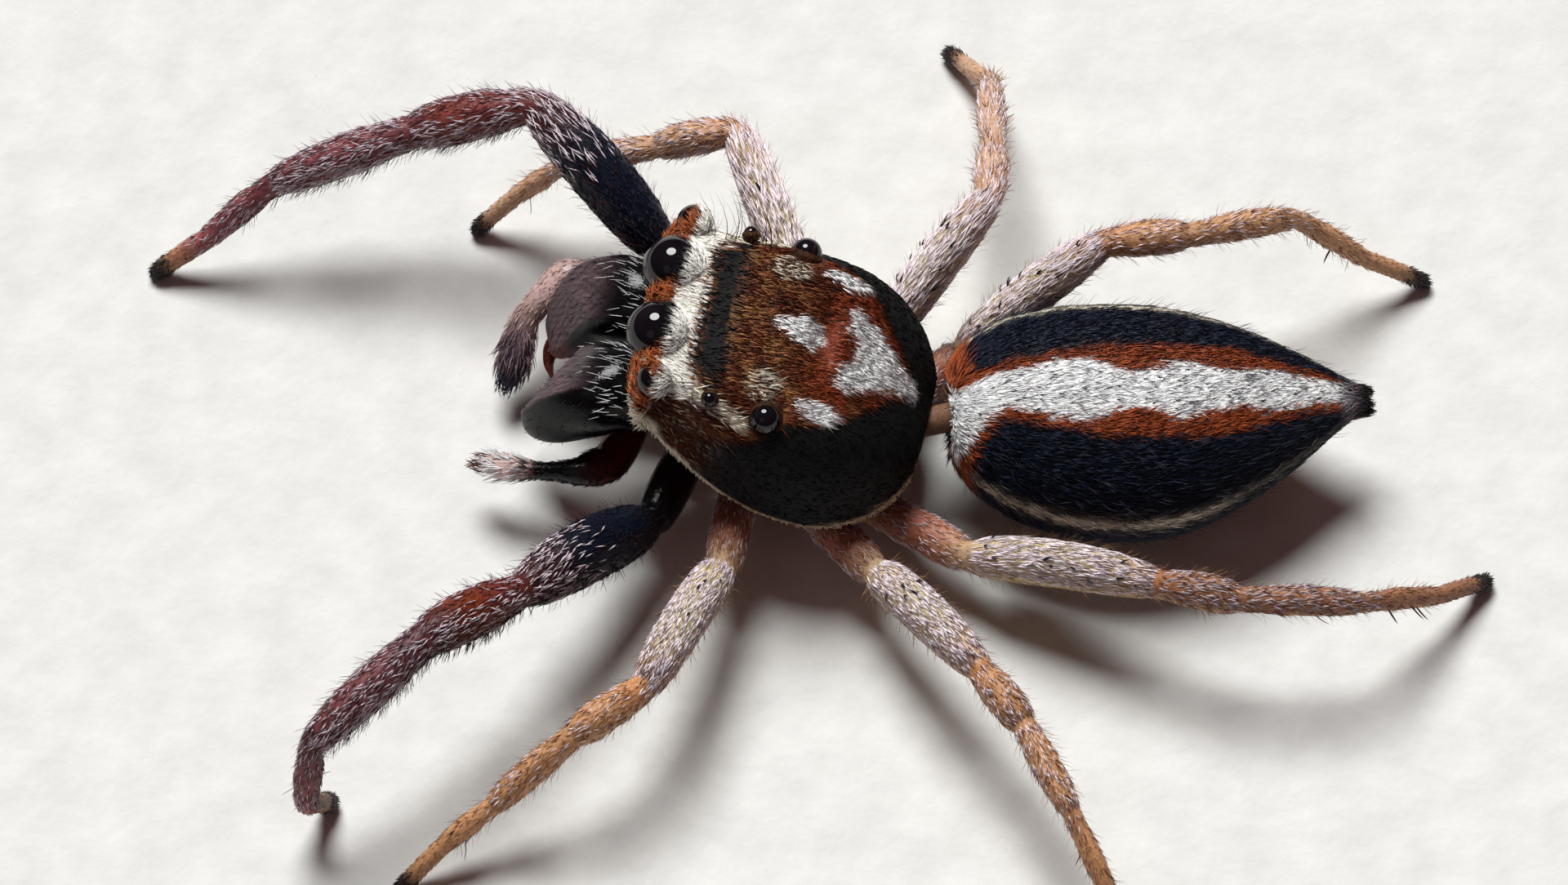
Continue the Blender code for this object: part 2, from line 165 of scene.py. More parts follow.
LEG_FLATNESS = 0.90
# At its joints a leg is pinched by this share, over this share of a segment.
PINCH = 0.10
PINCH_REACH = 0.045

# Share of pale hairs beyond each leg's knee, and how warm its skin is there,
# from 1, rusty, to -1, pale. This warmth is partly painted light: the right
# legs, on the lit side, are paler, and the left hind leg is darker with painted
# shade where the abdomen's shadow falls on it.
LEG_FROST = {"right_1": 0.7, "right_2": 0.4, "right_3": 0.6, "right_4": 0.1,
             "left_1": 0.2, "left_2": 0.0, "left_3": 0.4, "left_4": 0.7}
LEG_WARMTH_AND_PAINTED_LIGHT = {"right_1": -0.3, "right_2": -0.3, "right_3": -0.4, "right_4": -0.1,
              "left_1": 0.2, "left_2": 0.0, "left_3": 0.15, "left_4": 0.6}

# Jaw stops on the left in the head's frame: place, half width, half depth.
CHELICERA = (
    ((0.46, -1.42, -0.10), 0.38, 0.40),
    ((0.54, -1.80, -0.05), 0.46, 0.47),
    ((0.58, -2.08, -0.25), 0.46, 0.47),
    ((0.55, -2.27, -0.60), 0.41, 0.38),
    ((0.50, -2.37, -0.88), 0.31, 0.26),
    ((0.47, -2.41, -1.02), 0.23, 0.17),
)
# The flat front face of the left jaw: its way, and how far out it lies.
JAW_FACE = (-0.42, -0.88, 0.22)
JAW_FACE_AT = 1.86
# The narrower matt face down its front, and where across the jaw it starts.
JAW_RIDGE = (-0.20, -0.70, 0.68)
JAW_RIDGE_SHARE = 0.70
# A jaw is closed by rings of these shares, the last ones a little further out.
JAW_START = (0.05, 0.6)
JAW_END = (0.9, 0.6, 0.1)
JAW_END_BULGE = 0.05
# Fang stops: place and radius.
FANG = (
    ((0.49, -2.43, -1.04), 0.10),
    ((0.44, -2.47, -1.15), 0.08),
    ((0.32, -2.45, -1.24), 0.055),
    ((0.18, -2.38, -1.24), 0.02),
)
# The palps run from beside the mouth to their tips, given as on the left.
# Half thickness is by place, from 0 at the mouth to 4.
PALPS = {
    "left": ((0.45, -1.45, -0.80), (0.95, -1.60, -0.80), (1.15, -1.90, -0.80),
             (1.15, -2.35, -1.00), (1.05, -2.80, -1.25)),
    "right": ((0.45, -1.45, -0.80), (1.10, -1.90, -0.85), (1.15, -2.50, -0.75),
              (0.70, -2.80, -1.05), (0.15, -2.80, -1.40)),
}
PALP_PLACES = (0.0, 0.6, 1.0, 1.5, 2.0, 2.5, 3.0, 3.35, 3.75, 4.0)
PALP_RADII = {
    "left": (0.16, 0.20, 0.20, 0.19, 0.14, 0.10, 0.095, 0.12, 0.14, 0.10),
    "right": (0.16, 0.18, 0.18, 0.17, 0.17, 0.16, 0.14, 0.16, 0.17, 0.12),
}
# Plates below the head: place along the body, half width, half thickness.
STERNUM = ((-0.62, 0.16, 0.12), (-0.50, 0.31, 0.19), (-0.1, 0.43, 0.22),
           (0.35, 0.41, 0.22), (0.8, 0.25, 0.19), (0.95, 0.10, 0.10))
STERNUM_HEIGHT = -0.80
MOUTH = ((-1.22, 0.30, 0.10), (-1.12, 0.38, 0.18), (-0.80, 0.29, 0.19), (-0.60, 0.20, 0.14))
MOUTH_HEIGHT = -0.92

# Rings along a shell, and points around each ring.
CARAPACE_MESH = (84, 112)
ABDOMEN_MESH = (96, 112)
JAW_MESH = (90, 96)
EYE_MESH = (39, 64)
HOOD_MESH = (26, 48)
PLATE_MESH = (24, 32)
WAIST_MESH = (12, 20)
SPINNERET_MESH = (10, 16)
LEG_SIDES = 24
PALP_SIDES = 20
FANG_SIDES = 14

# ------------------------------------------------------------------- colours
CREAM = np.array((0.86, 0.79, 0.64))
WHITE = np.array((0.94, 0.95, 0.96))
IVORY = np.array((0.96, 0.93, 0.87))
LILAC = np.array((0.70, 0.60, 0.66))
PEARL = np.array((0.94, 0.81, 0.87))
PINK = np.array((0.56, 0.38, 0.36))
GOLD = np.array((0.46, 0.23, 0.075))
BROWN = np.array((0.17, 0.055, 0.018))
RUST = np.array((0.30, 0.052, 0.016))
RUSSET = np.array((0.19, 0.065, 0.042))
ORANGE = np.array((0.50, 0.125, 0.030))
NAVY = np.array((0.008, 0.007, 0.013))
BLACK = np.array((0.0034, 0.0038, 0.0047))
# The abdomen's black, with a blue cast that is a painted bluish sheen.
BLACK_WITH_PAINTED_SHEEN = BLACK + np.array((0.001, 0.004, 0.014))
SLATE = np.array((0.30, 0.28, 0.31))
MAUVE = np.array((0.085, 0.055, 0.062))
TAN = np.array((0.44, 0.23, 0.14))
PALE = np.array((0.74, 0.55, 0.46))
STRAW = np.array((0.58, 0.42, 0.25))
AMBER = np.array((0.62, 0.32, 0.155))
WINE = np.array((0.090, 0.018, 0.015))
ROSE = np.array((0.37, 0.105, 0.115))
EYE_DARK = np.array((0.005, 0.004, 0.006))

# Colours along a leg and a palp, by place.
DARK_LEG_TINTS = (
    (0.0, WINE * 0.5), (0.9, BLACK * 2), (1.05, NAVY), (1.7, NAVY * 1.2), (2.0, WINE),
    (2.3, WINE * 1.8), (2.7, RUST * 0.6), (3.0, ROSE * 0.30), (3.5, ROSE * 0.55), (4.0, ROSE * 0.40),
    (4.5, ROSE * 0.65), (5.0, ROSE * 0.8), (5.7, AMBER * 0.6), (6.0, BLACK * 2),
)
PALE_LEG_TINTS = (
    (0.0, TAN), (0.9, TAN * 1.05), (1.1, STRAW), (1.8, STRAW * 0.95), (2.0, AMBER * 0.9),
    (2.5, AMBER), (3.0, AMBER * 0.85), (3.5, AMBER), (4.0, AMBER * 0.9), (4.5, AMBER * 1.05),
    (5.0, AMBER * 0.9), (5.6, AMBER * 0.7), (6.0, BLACK * 3),
)
# The right palp's pink arm is partly a painted highlight, where the light falls on it.
PALP_TINTS = {
    "left": ((0.0, WINE), (1.0, RUST * 0.4), (1.5, WINE * 0.8), (2.1, BLACK * 2),
             (2.9, WINE * 0.5), (3.2, PINK), (4.0, PINK)),
    "right": ((0.0, WINE * 1.5), (1.0, PINK * 0.6), (1.8, PINK * 0.8), (2.4, PINK),
              (3.0, PINK * 0.5), (3.3, MAUVE * 1.6), (4.0, NAVY * 3)),
}
# Hairs of each palp: on its arm, in the brush at its tip, and at the very end. The right arm's pink hairs are
# partly a painted highlight.
PALP_COAT = {
    "left": (BLACK * 3, WHITE * 0.9, WINE),
    "right": (PINK, MAUVE * 2.2, NAVY * 3),
}
SKIN_BELOW = TAN * 0.45

# --------------------------------------------------------------- hair styles
# Length and width, rise from the skin in degrees, the share of that rise lost
# again towards the tip, scatter of the headings in degrees, and joints.
Style = namedtuple("Style", "length width rise bend spread joints", defaults=(10, 2))
PALE_FIELD = Style(0.20, 0.020, 14, 0.6, 14)
DARK_FIELD = Style(0.20, 0.013, 14, 0.6, 14)
VELVET = Style(0.08, 0.0115, 20, 0.5, 22)
STREAK = Style(0.14, 0.014, 14, 0.5, 14)
MARGIN = Style(0.11, 0.015, 20, 0.5, 16)
BROW = Style(0.21, 0.018, 24, 0.7, 14, 3)
FRONT_HOOD = Style(0.13, 0.014, 15, 0.4, 16)
REAR_HOOD = Style(0.05, 0.014, 15, 0.4, 16)
BETWEEN_EYES = Style(0.26, 0.016, 50, 0.5, 28)
BELOW_EYES = Style(0.17, 0.016, 34, 0.5, 28)
BRISTLE = Style(0.44, 0.013, 62, 0.1, 30, 5)
PALE_JAW = Style(0.17, 0.007, 16, 0.3, 14, 3)
DARK_JAW = Style(0.12, 0.008, 35, 0.3, 25)
PALP_HAIR = Style(None, 0.013, 24, 0.4, 16, 3)
PALE_ABDOMEN = Style(0.17, 0.018, 13, 0.6, 12)
DARK_ABDOMEN = Style(0.22, 0.013, 11, 0.5, 9)
RUSTY_ABDOMEN = Style(0.20, 0.014, 15, 0.5, 14)
THIN_ABDOMEN = Style(0.24, 0.007, 42, 0.3, 15, 3)
THICK_ABDOMEN = Style(0.13, 0.013, 30, 0.3, 12)
SPINNERET_HAIR = Style(0.11, 0.012, 18, 0.4)
CLAW = Style(0.17, 0.035, 15, 0.0, 3, 5)
# Lengths of the hairs on the arm and in the brush of a palp.
PALP_LENGTHS = (0.09, 0.20)

# One kind of hair on a leg: style, hairs on each square millimetre, the
# stretch of the leg with its softness, and colour. Then the side of the leg
# with its edge and softness, more hairs on a frosted leg, the share of the
# skin's colour that is added, the share of hairs kept, and their variety.
Growth = namedtuple("Growth", "style per_mm2 reach tint side frost skin kept variety",
                    defaults=(None, 0, 0.0, 1.0, 0.2))
DARK_LEG_HAIRS = {
    "fur": Growth(Style(0.13, 0.011, 18, 0.5, 14), 520, (1.02, 4.9, 0.1), NAVY, skin=0.6),
    "knee": Growth(Style(0.19, 0.017, 12, 0.5, 14), 430, (1.62, 2.15, 0.5, 0.3), LILAC * 1.1,
                   side=("top", -0.35, 0.7), kept=0.9),
    "flanks": Growth(Style(0.17, 0.016, 13, 0.5, 14), 420, (2.05, 4.0, 0.2), LILAC,
                     side=("flanks", 0.35, 0.6), frost=250, kept=0.8),
    "top": Growth(Style(0.14, 0.014, 14, 0.5, 14), 130, (3.0, 5.2, 0.3), LILAC * 0.9,
                  side=("top", -0.2, 0.4), frost=320),
    "fringe": Growth(Style(0.20, 0.010, 48, 0.3, 14, 3), 420, (2.1, 4.1, 0.2), WINE * 0.35,
                     side=("below", 0.35, 0.4)),
    "bristles": Growth(Style(0.20, 0.007, 52, 0.2, 14, 3), 70, (1.1, 4.6, 0.2), WINE),
}
PALE_LEG_HAIRS = {
    "fur": Growth(Style(0.12, 0.011, 16, 0.5, 14), 470, (0.3, 5.0, 0.2), 0.0, skin=0.95),
    "coxa": Growth(Style(0.15, 0.010, 22, 0.4, 14), 240, (0.2, 1.05, 0.2), PEARL * 0.8),
    "femur": Growth(Style(0.21, 0.017, 10, 0.5, 9), 750, (1.02, 1.97, 0.06), PEARL,
                    side=("top", -0.15, 0.5)),
    "frost": Growth(Style(0.16, 0.015, 12, 0.5, 14), 160, (1.95, 4.1, 0.2), PEARL * 0.95,
                    side=("top", -0.1, 0.6), frost=520),
    "dark": Growth(Style(0.13, 0.009, 30, 0.3, 14), 90, (1.9, 4.9, 0.2), WINE * 1.3),
    "spines above": Growth(Style(0.16, 0.028, 38, 0.4, 14, 3), 9, (1.15, 1.95, 0.1), BLACK * 3,
                           side=("top", 0.2, 0.3)),
    "spines below": Growth(Style(0.26, 0.022, 55, 0.3, 14, 3), 7, (3.1, 4.8, 0.1), WINE * 0.8,
                           side=("below", 0.1, 0.3)),
    "bristles": Growth(Style(0.19, 0.006, 50, 0.2, 14, 3), 90, (1.0, 4.9, 0.2), AMBER * 0.6),
}
FOOT_HAIRS = {
    "tarsus": Growth(Style(0.085, 0.009, 20, 0.4, 14), 700, (4.9, 5.75, 0.1), 0.0, skin=0.8),
    "brush": Growth(Style(0.09, 0.010, 34, 0.2, 14), 2400, (5.72, 7.0, 0.25), MAUVE * 0.45, variety=0.5),
}
# Frost on a warm pale leg takes this darker colour, more of it the warmer the leg is; the darkening is partly
# painted shade, most on the left hind leg.
WARM_FROST_AND_SHADE = LILAC * 0.8
WARM_FROST_AND_SHADE_RATE = 1.5

# How deep a hair is rooted, the least height of any of its points, the size of
# its patch on the unwrap, and the unwrap's margin.
HAIR_SINK = 0.012
HAIR_FLOOR = 0.004
PATCH = 0.003
CHART_MARGIN = 0.01
# For hairs of 2, 3 and 5 joints: each joint's place along the hair, and width.
HAIR_JOINTS = {
    2: ((0.0, 0.75), (0.42, 1.0)),
    3: ((0.0, 0.8), (0.35, 1.0), (0.70, 0.7)),
    5: ((0.0, 1.0), (0.22, 0.95), (0.45, 0.8), (0.68, 0.6), (0.86, 0.35)),
}
# Where round the abdomen its upper and its lower coat meet: 1 is the top, 0
# the sides. Each claw sits on this ring of its leg, counted from the tip.
COAT_SPLIT = 0.25
CLAW_RING = -8

# ------------------------------------------------------------- stage values
PAPER_DARK = (0.70, 0.70, 0.685)
PAPER_PALE = (0.80, 0.80, 0.785)
FLOOR_HALF = 0.6
LIGHT_DISTANCE = 0.1
CAMERA_AZIMUTH = 4
CAMERA_ELEVATION = 58
CAMERA_DISTANCE = 150.0
FRAME_WIDTH = 16.0
TARGET_HEIGHT = 1.2


# ------------------------------------------------------------ small geometry
def unit(vectors):
    """The vectors with length 1."""
    size = np.linalg.norm(vectors, axis=-1, keepdims=True)
    return vectors / np.maximum(size, 1e-12)


def level(vectors, normals):
    """The ways of the vectors along the surface with those normals."""
    return unit(vectors - normals * np.sum(vectors * normals, axis=-1, keepdims=True))


def blend(a, b, share):
    """From a to b by share, for colours or numbers."""
    share = np.clip(share, 0.0, 1.0)
    if np.ndim(a) or np.ndim(b):
        share = share[..., None]
    return a + (b - a) * share


def paint(tint, layers):
    """The tint with colours laid over it, each by its own share."""
    for colour, share in layers:
        tint = blend(tint, colour, share)
    return tint


def step(x, edge, softness):
    """0 below the edge and 1 above it, softly."""
    t = np.clip((x - edge) / softness + 0.5, 0.0, 1.0)
    return t * t * (3 - 2 * t)


def between(x, low, high, softness, high_softness=None):
    """1 from low to high and 0 outside, softly."""
    return step(x, low, softness) * (1 - step(x, high, high_softness or softness))


def plain(tint, points):
    """The same tint for every point."""
    return np.tile(tint, (len(points), 1))


def curve(x, knots, values):
    """A smooth curve through the values at the knots."""
    knots = np.asarray(knots, float)
    values = np.asarray(values, float)
    slopes = np.gradient(values, knots, axis=0)
    x = np.clip(x, knots[0], knots[-1])
    i = np.clip(np.searchsorted(knots, x) - 1, 0, len(knots) - 2)
    span = knots[i + 1] - knots[i]
    t = (x - knots[i]) / span
    if values.ndim > 1:
        span = span[..., None]
        t = t[..., None]
    a = (2 * t**3 - 3 * t**2 + 1) * values[i] + (t**3 - 2 * t**2 + t) * span * slopes[i]
    b = (3 * t**2 - 2 * t**3) * values[i + 1] + (t**3 - t**2) * span * slopes[i + 1]
    return a + b


def head_matrix():
    """From the head's frame to the part's, before it was centred."""
    matrix = Matrix.Translation(PROSOMA_AT)
    for angle, axis in PROSOMA_TURNS:
        matrix = matrix @ Matrix.Rotation(radians(angle), 4, axis)
    return np.array(matrix)


HEAD = head_matrix()


def centring():
    """How far the part was moved to centre its box, read off one eye."""
    low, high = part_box("eye_rear_side_left")
    centre = np.array(EYES["rear_side"][0])
    return np.array((low + high) / 2) / MM - (centre @ HEAD[:3, :3].T + HEAD[:3, 3])


SHIFT = centring()


def from_head(points):
    """Points in the head's frame, in the world."""
    return np.asarray(points) @ HEAD[:3, :3].T + HEAD[:3, 3] + SHIFT


def to_head(points):
    """Points in the world, in the head's frame."""
    return (points - SHIFT - HEAD[:3, 3]) @ HEAD[:3, :3]


def turn_from_head(vectors):
    return np.asarray(vectors) @ HEAD[:3, :3].T


def waves(points, size, seed):
    """Smooth noise from -1 to 1 with features of about that size, in mm."""
    random = np.random.default_rng(seed)
    total = np.zeros(len(points))
    for i in range(7):
        way = unit(random.normal(size=3)) * (2 * pi / size) * random.uniform(0.6, 1.6)
        total += np.sin(points @ way + random.uniform(0, 2 * pi))
    return total / 3.5


# ------------------------------------------------------------------- shells
# Points on a shell: place, outward normal, way along the shell, where each lies
# along it and around it, and its place on the unwrap.
Spots = namedtuple("Spots", "place normal way along around chart")


class Shell:
    """A closed tube of rings of points. along is each ring's place on the body
    part, and around each point's share of the way round its ring."""

    def __init__(self, name, points, along):
        self.name = name
        self.points = points
        self.along = np.asarray(along, float)
        self.around = np.arange(points.shape[1]) / points.shape[1]
        around_way = np.roll(points, -1, axis=1) - np.roll(points, 1, axis=1)
        along_way = np.gradient(points, axis=0)
        normals = unit(np.cross(around_way, along_way))
        middle = points.mean(axis=1, keepdims=True)
        if np.sum(normals * (points - middle)) < 0:
            normals = -normals
        self.normals = normals
        self.ways = level(along_way, normals)

    def grid(self):
        """All points of the shell."""
        rings, sides = self.points.shape[:2]
        flat = [values.reshape(-1, 3) for values in (self.points, self.normals, self.ways)]
        return Spots(*flat, np.repeat(self.along, sides), np.tile(self.around, rings), None)

    def scatter(self, per_mm2, seed, density=None):
        """Roots spread evenly over the shell, thinned out by density."""
        random = np.random.default_rng(seed)
        rings, sides = self.points.shape[:2]
        near = np.roll(self.points, -1, axis=1)
        a, b = self.points[:-1], near[:-1]
        c, d = near[1:], self.points[1:]
        area = 0.5 * np.linalg.norm(np.cross(c - a, d - b), axis=-1)
        count = int(area.sum() * per_mm2)
        chosen = random.choice(area.size, size=count, p=(area / area.sum()).ravel())
        i, j = np.unravel_index(chosen, area.shape)
        k = (j + 1) % sides
        s = random.random(count)
        t = random.random(count)

        def mix(values):
            low = values[i, j] * (1 - s)[:, None] + values[i, k] * s[:, None]
            high = values[i + 1, j] * (1 - s)[:, None] + values[i + 1, k] * s[:, None]
            return low * (1 - t)[:, None] + high * t[:, None]

        along = self.along[i] * (1 - t) + self.along[i + 1] * t
        around = (j + s) / sides
        chart = np.stack((around, (i + t) / (rings - 1)), axis=1)
        roots = Spots(mix(self.points), unit(mix(self.normals)), unit(mix(self.ways)), along, around, chart)
        if density is not None:
            roots = pick(roots, random.random(count) < density(roots))
        return roots


def pick(spots, keep):
    """The spots that are kept."""
    return Spots(*(values[keep] for values in spots))


def oval(centre, side, up, wide, high, count):
    """One ring in the plane of side and up. It starts at side and turns to up."""
    angles = 2 * pi * np.arange(count) / count
    return centre + np.outer(np.cos(angles) * wide, side) + np.outer(np.sin(angles) * high, up)


def shrunk(ring, share):
    """The ring drawn in to that share of its size."""
    middle = ring.mean(axis=0)
    return middle + (ring - middle) * share


def round_end(size):
    """Shares along and of the radius for the rings of a rounded end."""
    angles = np.radians((20, 45, 65, 80, 88))
    return [(sin(a) * size, cos(a)) for a in angles]


def carapace_shell():
    """The head's shield, from its front face to its rear edge."""
    count, sides = CARAPACE_MESH
    coat = CARAPACE_COAT
    span = np.linspace(CARAPACE_Y[0] + coat, CARAPACE_Y[-1] - coat, count)
    angles = 2 * pi * np.arange(sides) / sides
    c, s = np.cos(angles), np.sin(angles)
    power = 2.0 / CARAPACE_SQUARENESS
    low_power = power * CARAPACE_LOW_POWER
    rings = []
    along = []

    def ring(y, share):
        wide = (curve(y, CARAPACE_Y, CARAPACE_WIDE) - coat) * share
        top = curve(y, CARAPACE_Y, CARAPACE_TOP) - coat
        low = curve(y, CARAPACE_Y, CARAPACE_LOW) + coat / 2
        middle = low + CARAPACE_WIDEST * (top - low)
        x = wide * np.sign(c) * np.abs(c) ** power
        low_rise = -(middle - low) * np.abs(s) ** low_power
        rise = np.where(s >= 0, (top - middle) * np.abs(s) ** power, low_rise)
        z = middle + rise * share
        x = x * np.where(s < 0, 1.0 - CARAPACE_TUCK * np.abs(s), 1.0)
        x = x * (1.0 + CARAPACE_FLARE * (top - z) / (top - low))
        return np.stack((x, np.full(sides, y), z), axis=1)

    for share in FRONT_RINGS:
        rings.append(ring(span[0], share) + np.array((0, -FRONT_BULGE * (1 - share**4), 0)))
        along.append(span[0] - FRONT_BULGE * (1 - share))
    for y in span:
        rings.append(ring(y, 1.0))
        along.append(y)
    for share in REAR_RINGS:
        rings.append(ring(span[-1], share) + np.array((0, REAR_BULGE * (1 - share**2), 0)))
        along.append(span[-1] + REAR_BULGE * (1 - share))
    points = np.array(rings)
    x, y, z = points[..., 0], points[..., 1], points[..., 2]
    furrow = FURROW_DEEP * np.exp(-((y - FURROW_AT) / FURROW_LONG) ** 2 - (x / FURROW_WIDE) ** 2)
    points[..., 2] -= np.where(z > FURROW_ABOVE, furrow, 0.0)
    return Shell("carapace", from_head(points), along)


def abdomen_axis():
    """The ways along the abdomen, across it and up from it."""
    way = unit(ABDOMEN_REAR - ABDOMEN_FRONT)
    across = unit(np.array((way[1], -way[0], 0.0)))
    return way, across, np.cross(across, way)


def abdomen_shell():
    count, sides = ABDOMEN_MESH
    way, across, up = abdomen_axis()
    angles = 2 * pi * np.arange(sides) / sides
    rings = []
    along = []

    def ring(share, scale, push):
        centre = ABDOMEN_FRONT + (ABDOMEN_REAR - ABDOMEN_FRONT) * share + ABDOMEN_BOW * sin(pi * share)
        wide = curve(share, ABDOMEN_SHARE, ABDOMEN_WIDE) - ABDOMEN_COAT
        above = curve(share, ABDOMEN_SHARE, ABDOMEN_ABOVE) - ABDOMEN_COAT
        below = curve(share, ABDOMEN_SHARE, ABDOMEN_BELOW) - ABDOMEN_COAT / 2
        high = np.where(np.sin(angles) >= 0, above, below)
        flat = np.outer(np.cos(angles) * wide * scale, across) + np.outer(np.sin(angles) * high * scale, up)
        rings.append(centre + way * push + flat + SHIFT)
        along.append(share)

    # The front is hollow where the waist enters, and the rear bulges a little.
    for scale in (0.05, 0.4, 0.7, 0.88, 0.97):
        ring(0.0, scale, 0.10 - 0.08 * scale**2)
    for share in np.linspace(0.0, 1.0, count)[1:-1]:
        ring(share, 1.0, 0.0)
    for scale in (1.0, 0.8, 0.5, 0.1):
        ring(1.0, scale, -0.04 * scale**2)
    return Shell("abdomen", np.array(rings), along)


def heading(side, swing, lift):
    """The way a stretch of leg runs. A swing of 0 is forward and 90 outward."""
    flat = cos(radians(lift))
    return np.array((side * flat * sin(radians(swing)), -flat * cos(radians(swing)), sin(radians(lift))))


def leg_joints(name):
    """Places of the hip and the six joints of a leg, as in the part."""
    label, number = name.split("_")
    side = SIDES[label]
    number = int(number)
    x, y, z = HIPS[number]
    coxa, *bends = LEG_POSES[name]
    lengths = [coxa] + [LEG_LENGTHS[number] * share for share in SEGMENT_SHARES[number]]
    joints = [from_head((x * side, y, z))]
    for length, (swing, lift) in zip(lengths, bends):
        if lift is None:
            drop = joints[-1][2] - FOOT_CENTRE
            lift = -degrees(asin(min(1.0, drop / length)))
        joints.append(joints[-1] + heading(side, swing, lift) * length)
    return joints


def smooth_path(joints, spacing, passes, bow):
    """A dense path along the joints with rounded bends, and each point's
    place counted in segments. bow lifts the middle of each segment."""
    points = []
    places = []
    for i, (a, b) in enumerate(zip(joints, joints[1:])):
        length = np.linalg.norm(b - a)
        count = max(4, int(length / spacing))
        share = np.arange(count) / count
        lift = np.array((0, 0, bow[i] * length))
        points.append(a + np.outer(share, b - a) + np.outer(np.sin(pi * share), lift))
        places.append(i + share)
    points.append(joints[-1][None])
    places.append(np.array((len(joints) - 1.0,)))
    points = np.concatenate(points)
    for _ in range(passes):
        points[1:-1] = 0.25 * points[:-2] + 0.5 * points[1:-1] + 0.25 * points[2:]
    return points, np.concatenate(places)


def tube_shell(name, points, places, wide, high, sides):
    """A tube along a path. Its rings start at the side and pass over the top."""
    tangents = unit(np.gradient(points, axis=0))
    up = np.array((0.0, 0.0, 1.0))
    rings = []
    along = []

    def ring(i, centre, share):
        rings.append(oval(centre, side, up, wide[i] * share, high[i] * share, sides))
        along.append(places[i])

    for i, (point, tangent) in enumerate(zip(points, tangents)):
        up = unit(up - tangent * np.dot(up, tangent))
        side = np.cross(tangent, up)
        if i == 0:
            for back, share in reversed(round_end(high[0])):
                ring(0, point - tangent * back, share)
        ring(i, point, 1.0)
    for ahead, share in round_end(high[-1]):
        ring(-1, points[-1] + tangents[-1] * ahead, share)
    return Shell(name, np.array(rings), along)


def leg_shell(name):
    points, places = smooth_path(leg_joints(name), spacing=0.035, passes=10, bow=LEG_BOW)
    high = curve(places, LEG_PLACES, LEG_RADII["thick" if name.endswith("1") else "thin"])
    nearest = np.abs(places - np.round(places))
    inside = (places > 0.5) & (places < 5.5)
    high = high * (1 - PINCH * inside * np.exp(-(nearest / PINCH_REACH) ** 2))
    return tube_shell("leg_" + name, points, places, high * LEG_FLATNESS, high, LEG_SIDES)


def palp_shell(label):
    joints = [from_head((x * SIDES[label], y, z)) for x, y, z in PALPS[label]]
    points, places = smooth_path(joints, spacing=0.03, passes=10, bow=(0.0,) * 4)
    high = curve(places, PALP_PLACES, PALP_RADII[label])
    return tube_shell("palp_" + label, points, places, high, high, PALP_SIDES)


def jaw_shell(label, side):
    """A swollen basal segment. Its front is cut flat as in the part, and a
    narrower face with a ridge at each side runs down it to the tip."""
    count, sides = JAW_MESH
    stops = np.arange(len(CHELICERA))
    places = np.linspace(0.0, len(CHELICERA) - 1.0, count)
    path = curve(places, stops, [(x * side, y, z) for (x, y, z), wide, deep in CHELICERA])
    wide = curve(places, stops, [stop[1] for stop in CHELICERA])
    deep = curve(places, stops, [stop[2] for stop in CHELICERA])
    tangents = unit(np.gradient(path, axis=0))
    rings = []
    for point, tangent, w, d in zip(path, tangents, wide, deep):
        across = unit(np.array((1.0, 0.0, 0.0)) - tangent * tangent[0])
        rings.append(oval(point, across, np.cross(tangent, across), w, d, sides))
    rings = np.array(rings)
    ridge = jaw_ridge(rings - path[:, None], tangents, side)
    strength = step(places, 1.2, 1.2)[:, None]
    rings = rings - (np.maximum(ridge, 0.0) * strength)[..., None] * ridge_way(tangents, side)[:, None]
    start = [shrunk(rings[0], share) for share in JAW_START]
    end = [shrunk(rings[-1], share) + tangents[-1] * JAW_END_BULGE * (1 - share * share) for share in JAW_END]
    points = np.array([*start, *rings, *end])
    flat = np.array(JAW_FACE) * (side, 1, 1)
    beyond = np.maximum(points @ flat - JAW_FACE_AT, 0.0)
    points = points - beyond[..., None] * flat
    ends = (len(start), len(end))
    shell = Shell("chelicera_" + label, from_head(points), np.pad(places, ends, "edge"))
    face = step(ridge, -0.015, 0.03) * step(places, 1.5, 1.0)[:, None]
    shell.face = np.pad(face, (ends, (0, 0)), "edge")
    return shell


def ridge_way(tangents, side):
    """The way that the narrow face looks, square to the jaw's middle line."""
    look = np.array(JAW_RIDGE) * (side, 1, 1)
    return unit(look - tangents * (tangents @ look)[:, None])


def jaw_ridge(offsets, tangents, side):
    """How far each point stands out past the narrow face."""
    out = np.sum(offsets * ridge_way(tangents, side)[:, None], axis=-1)
    return out - JAW_RIDGE_SHARE * out.max(axis=1, keepdims=True)


def fang_shell(label, side):
    path = from_head([(x * side, y, z) for (x, y, z), radius in FANG])
    points, places = smooth_path(list(path), spacing=0.02, passes=4, bow=(0.0,) * 3)
    high = curve(places, range(len(FANG)), [radius for place, radius in FANG])
    return tube_shell("fang_" + label, points, places, high, high, FANG_SIDES)


def plate_shell(name, stations, height):
    """A flat oval plate under the head, as the sternum and mouthparts are."""
    count, sides = PLATE_MESH
    ys, wides, thicks = zip(*stations)
    span = np.linspace(ys[0], ys[-1], count)
    across = np.array((1.0, 0, 0))
    up = np.array((0, 0, 1.0))
    rings = []
    for y, wide, thick in zip(span, curve(span, ys, wides), curve(span, ys, thicks)):
        rings.append(oval(np.array((0, y, height)), across, up, wide, thick, sides))
    rings = [shrunk(rings[0], 0.05), *rings, shrunk(rings[-1], 0.05)]
    return Shell(name, from_head(np.array(rings)), [span[0], *span, span[-1]])


def waist_shell():
    count, sides = WAIST_MESH
    points = np.linspace(from_head(WAIST_START), ABDOMEN_FRONT + SHIFT + np.array(WAIST_INSIDE), count)
    high = np.full(count, WAIST_RADIUS)
    return tube_shell("waist", points, np.linspace(0.0, 1.0, count), high, high, sides)


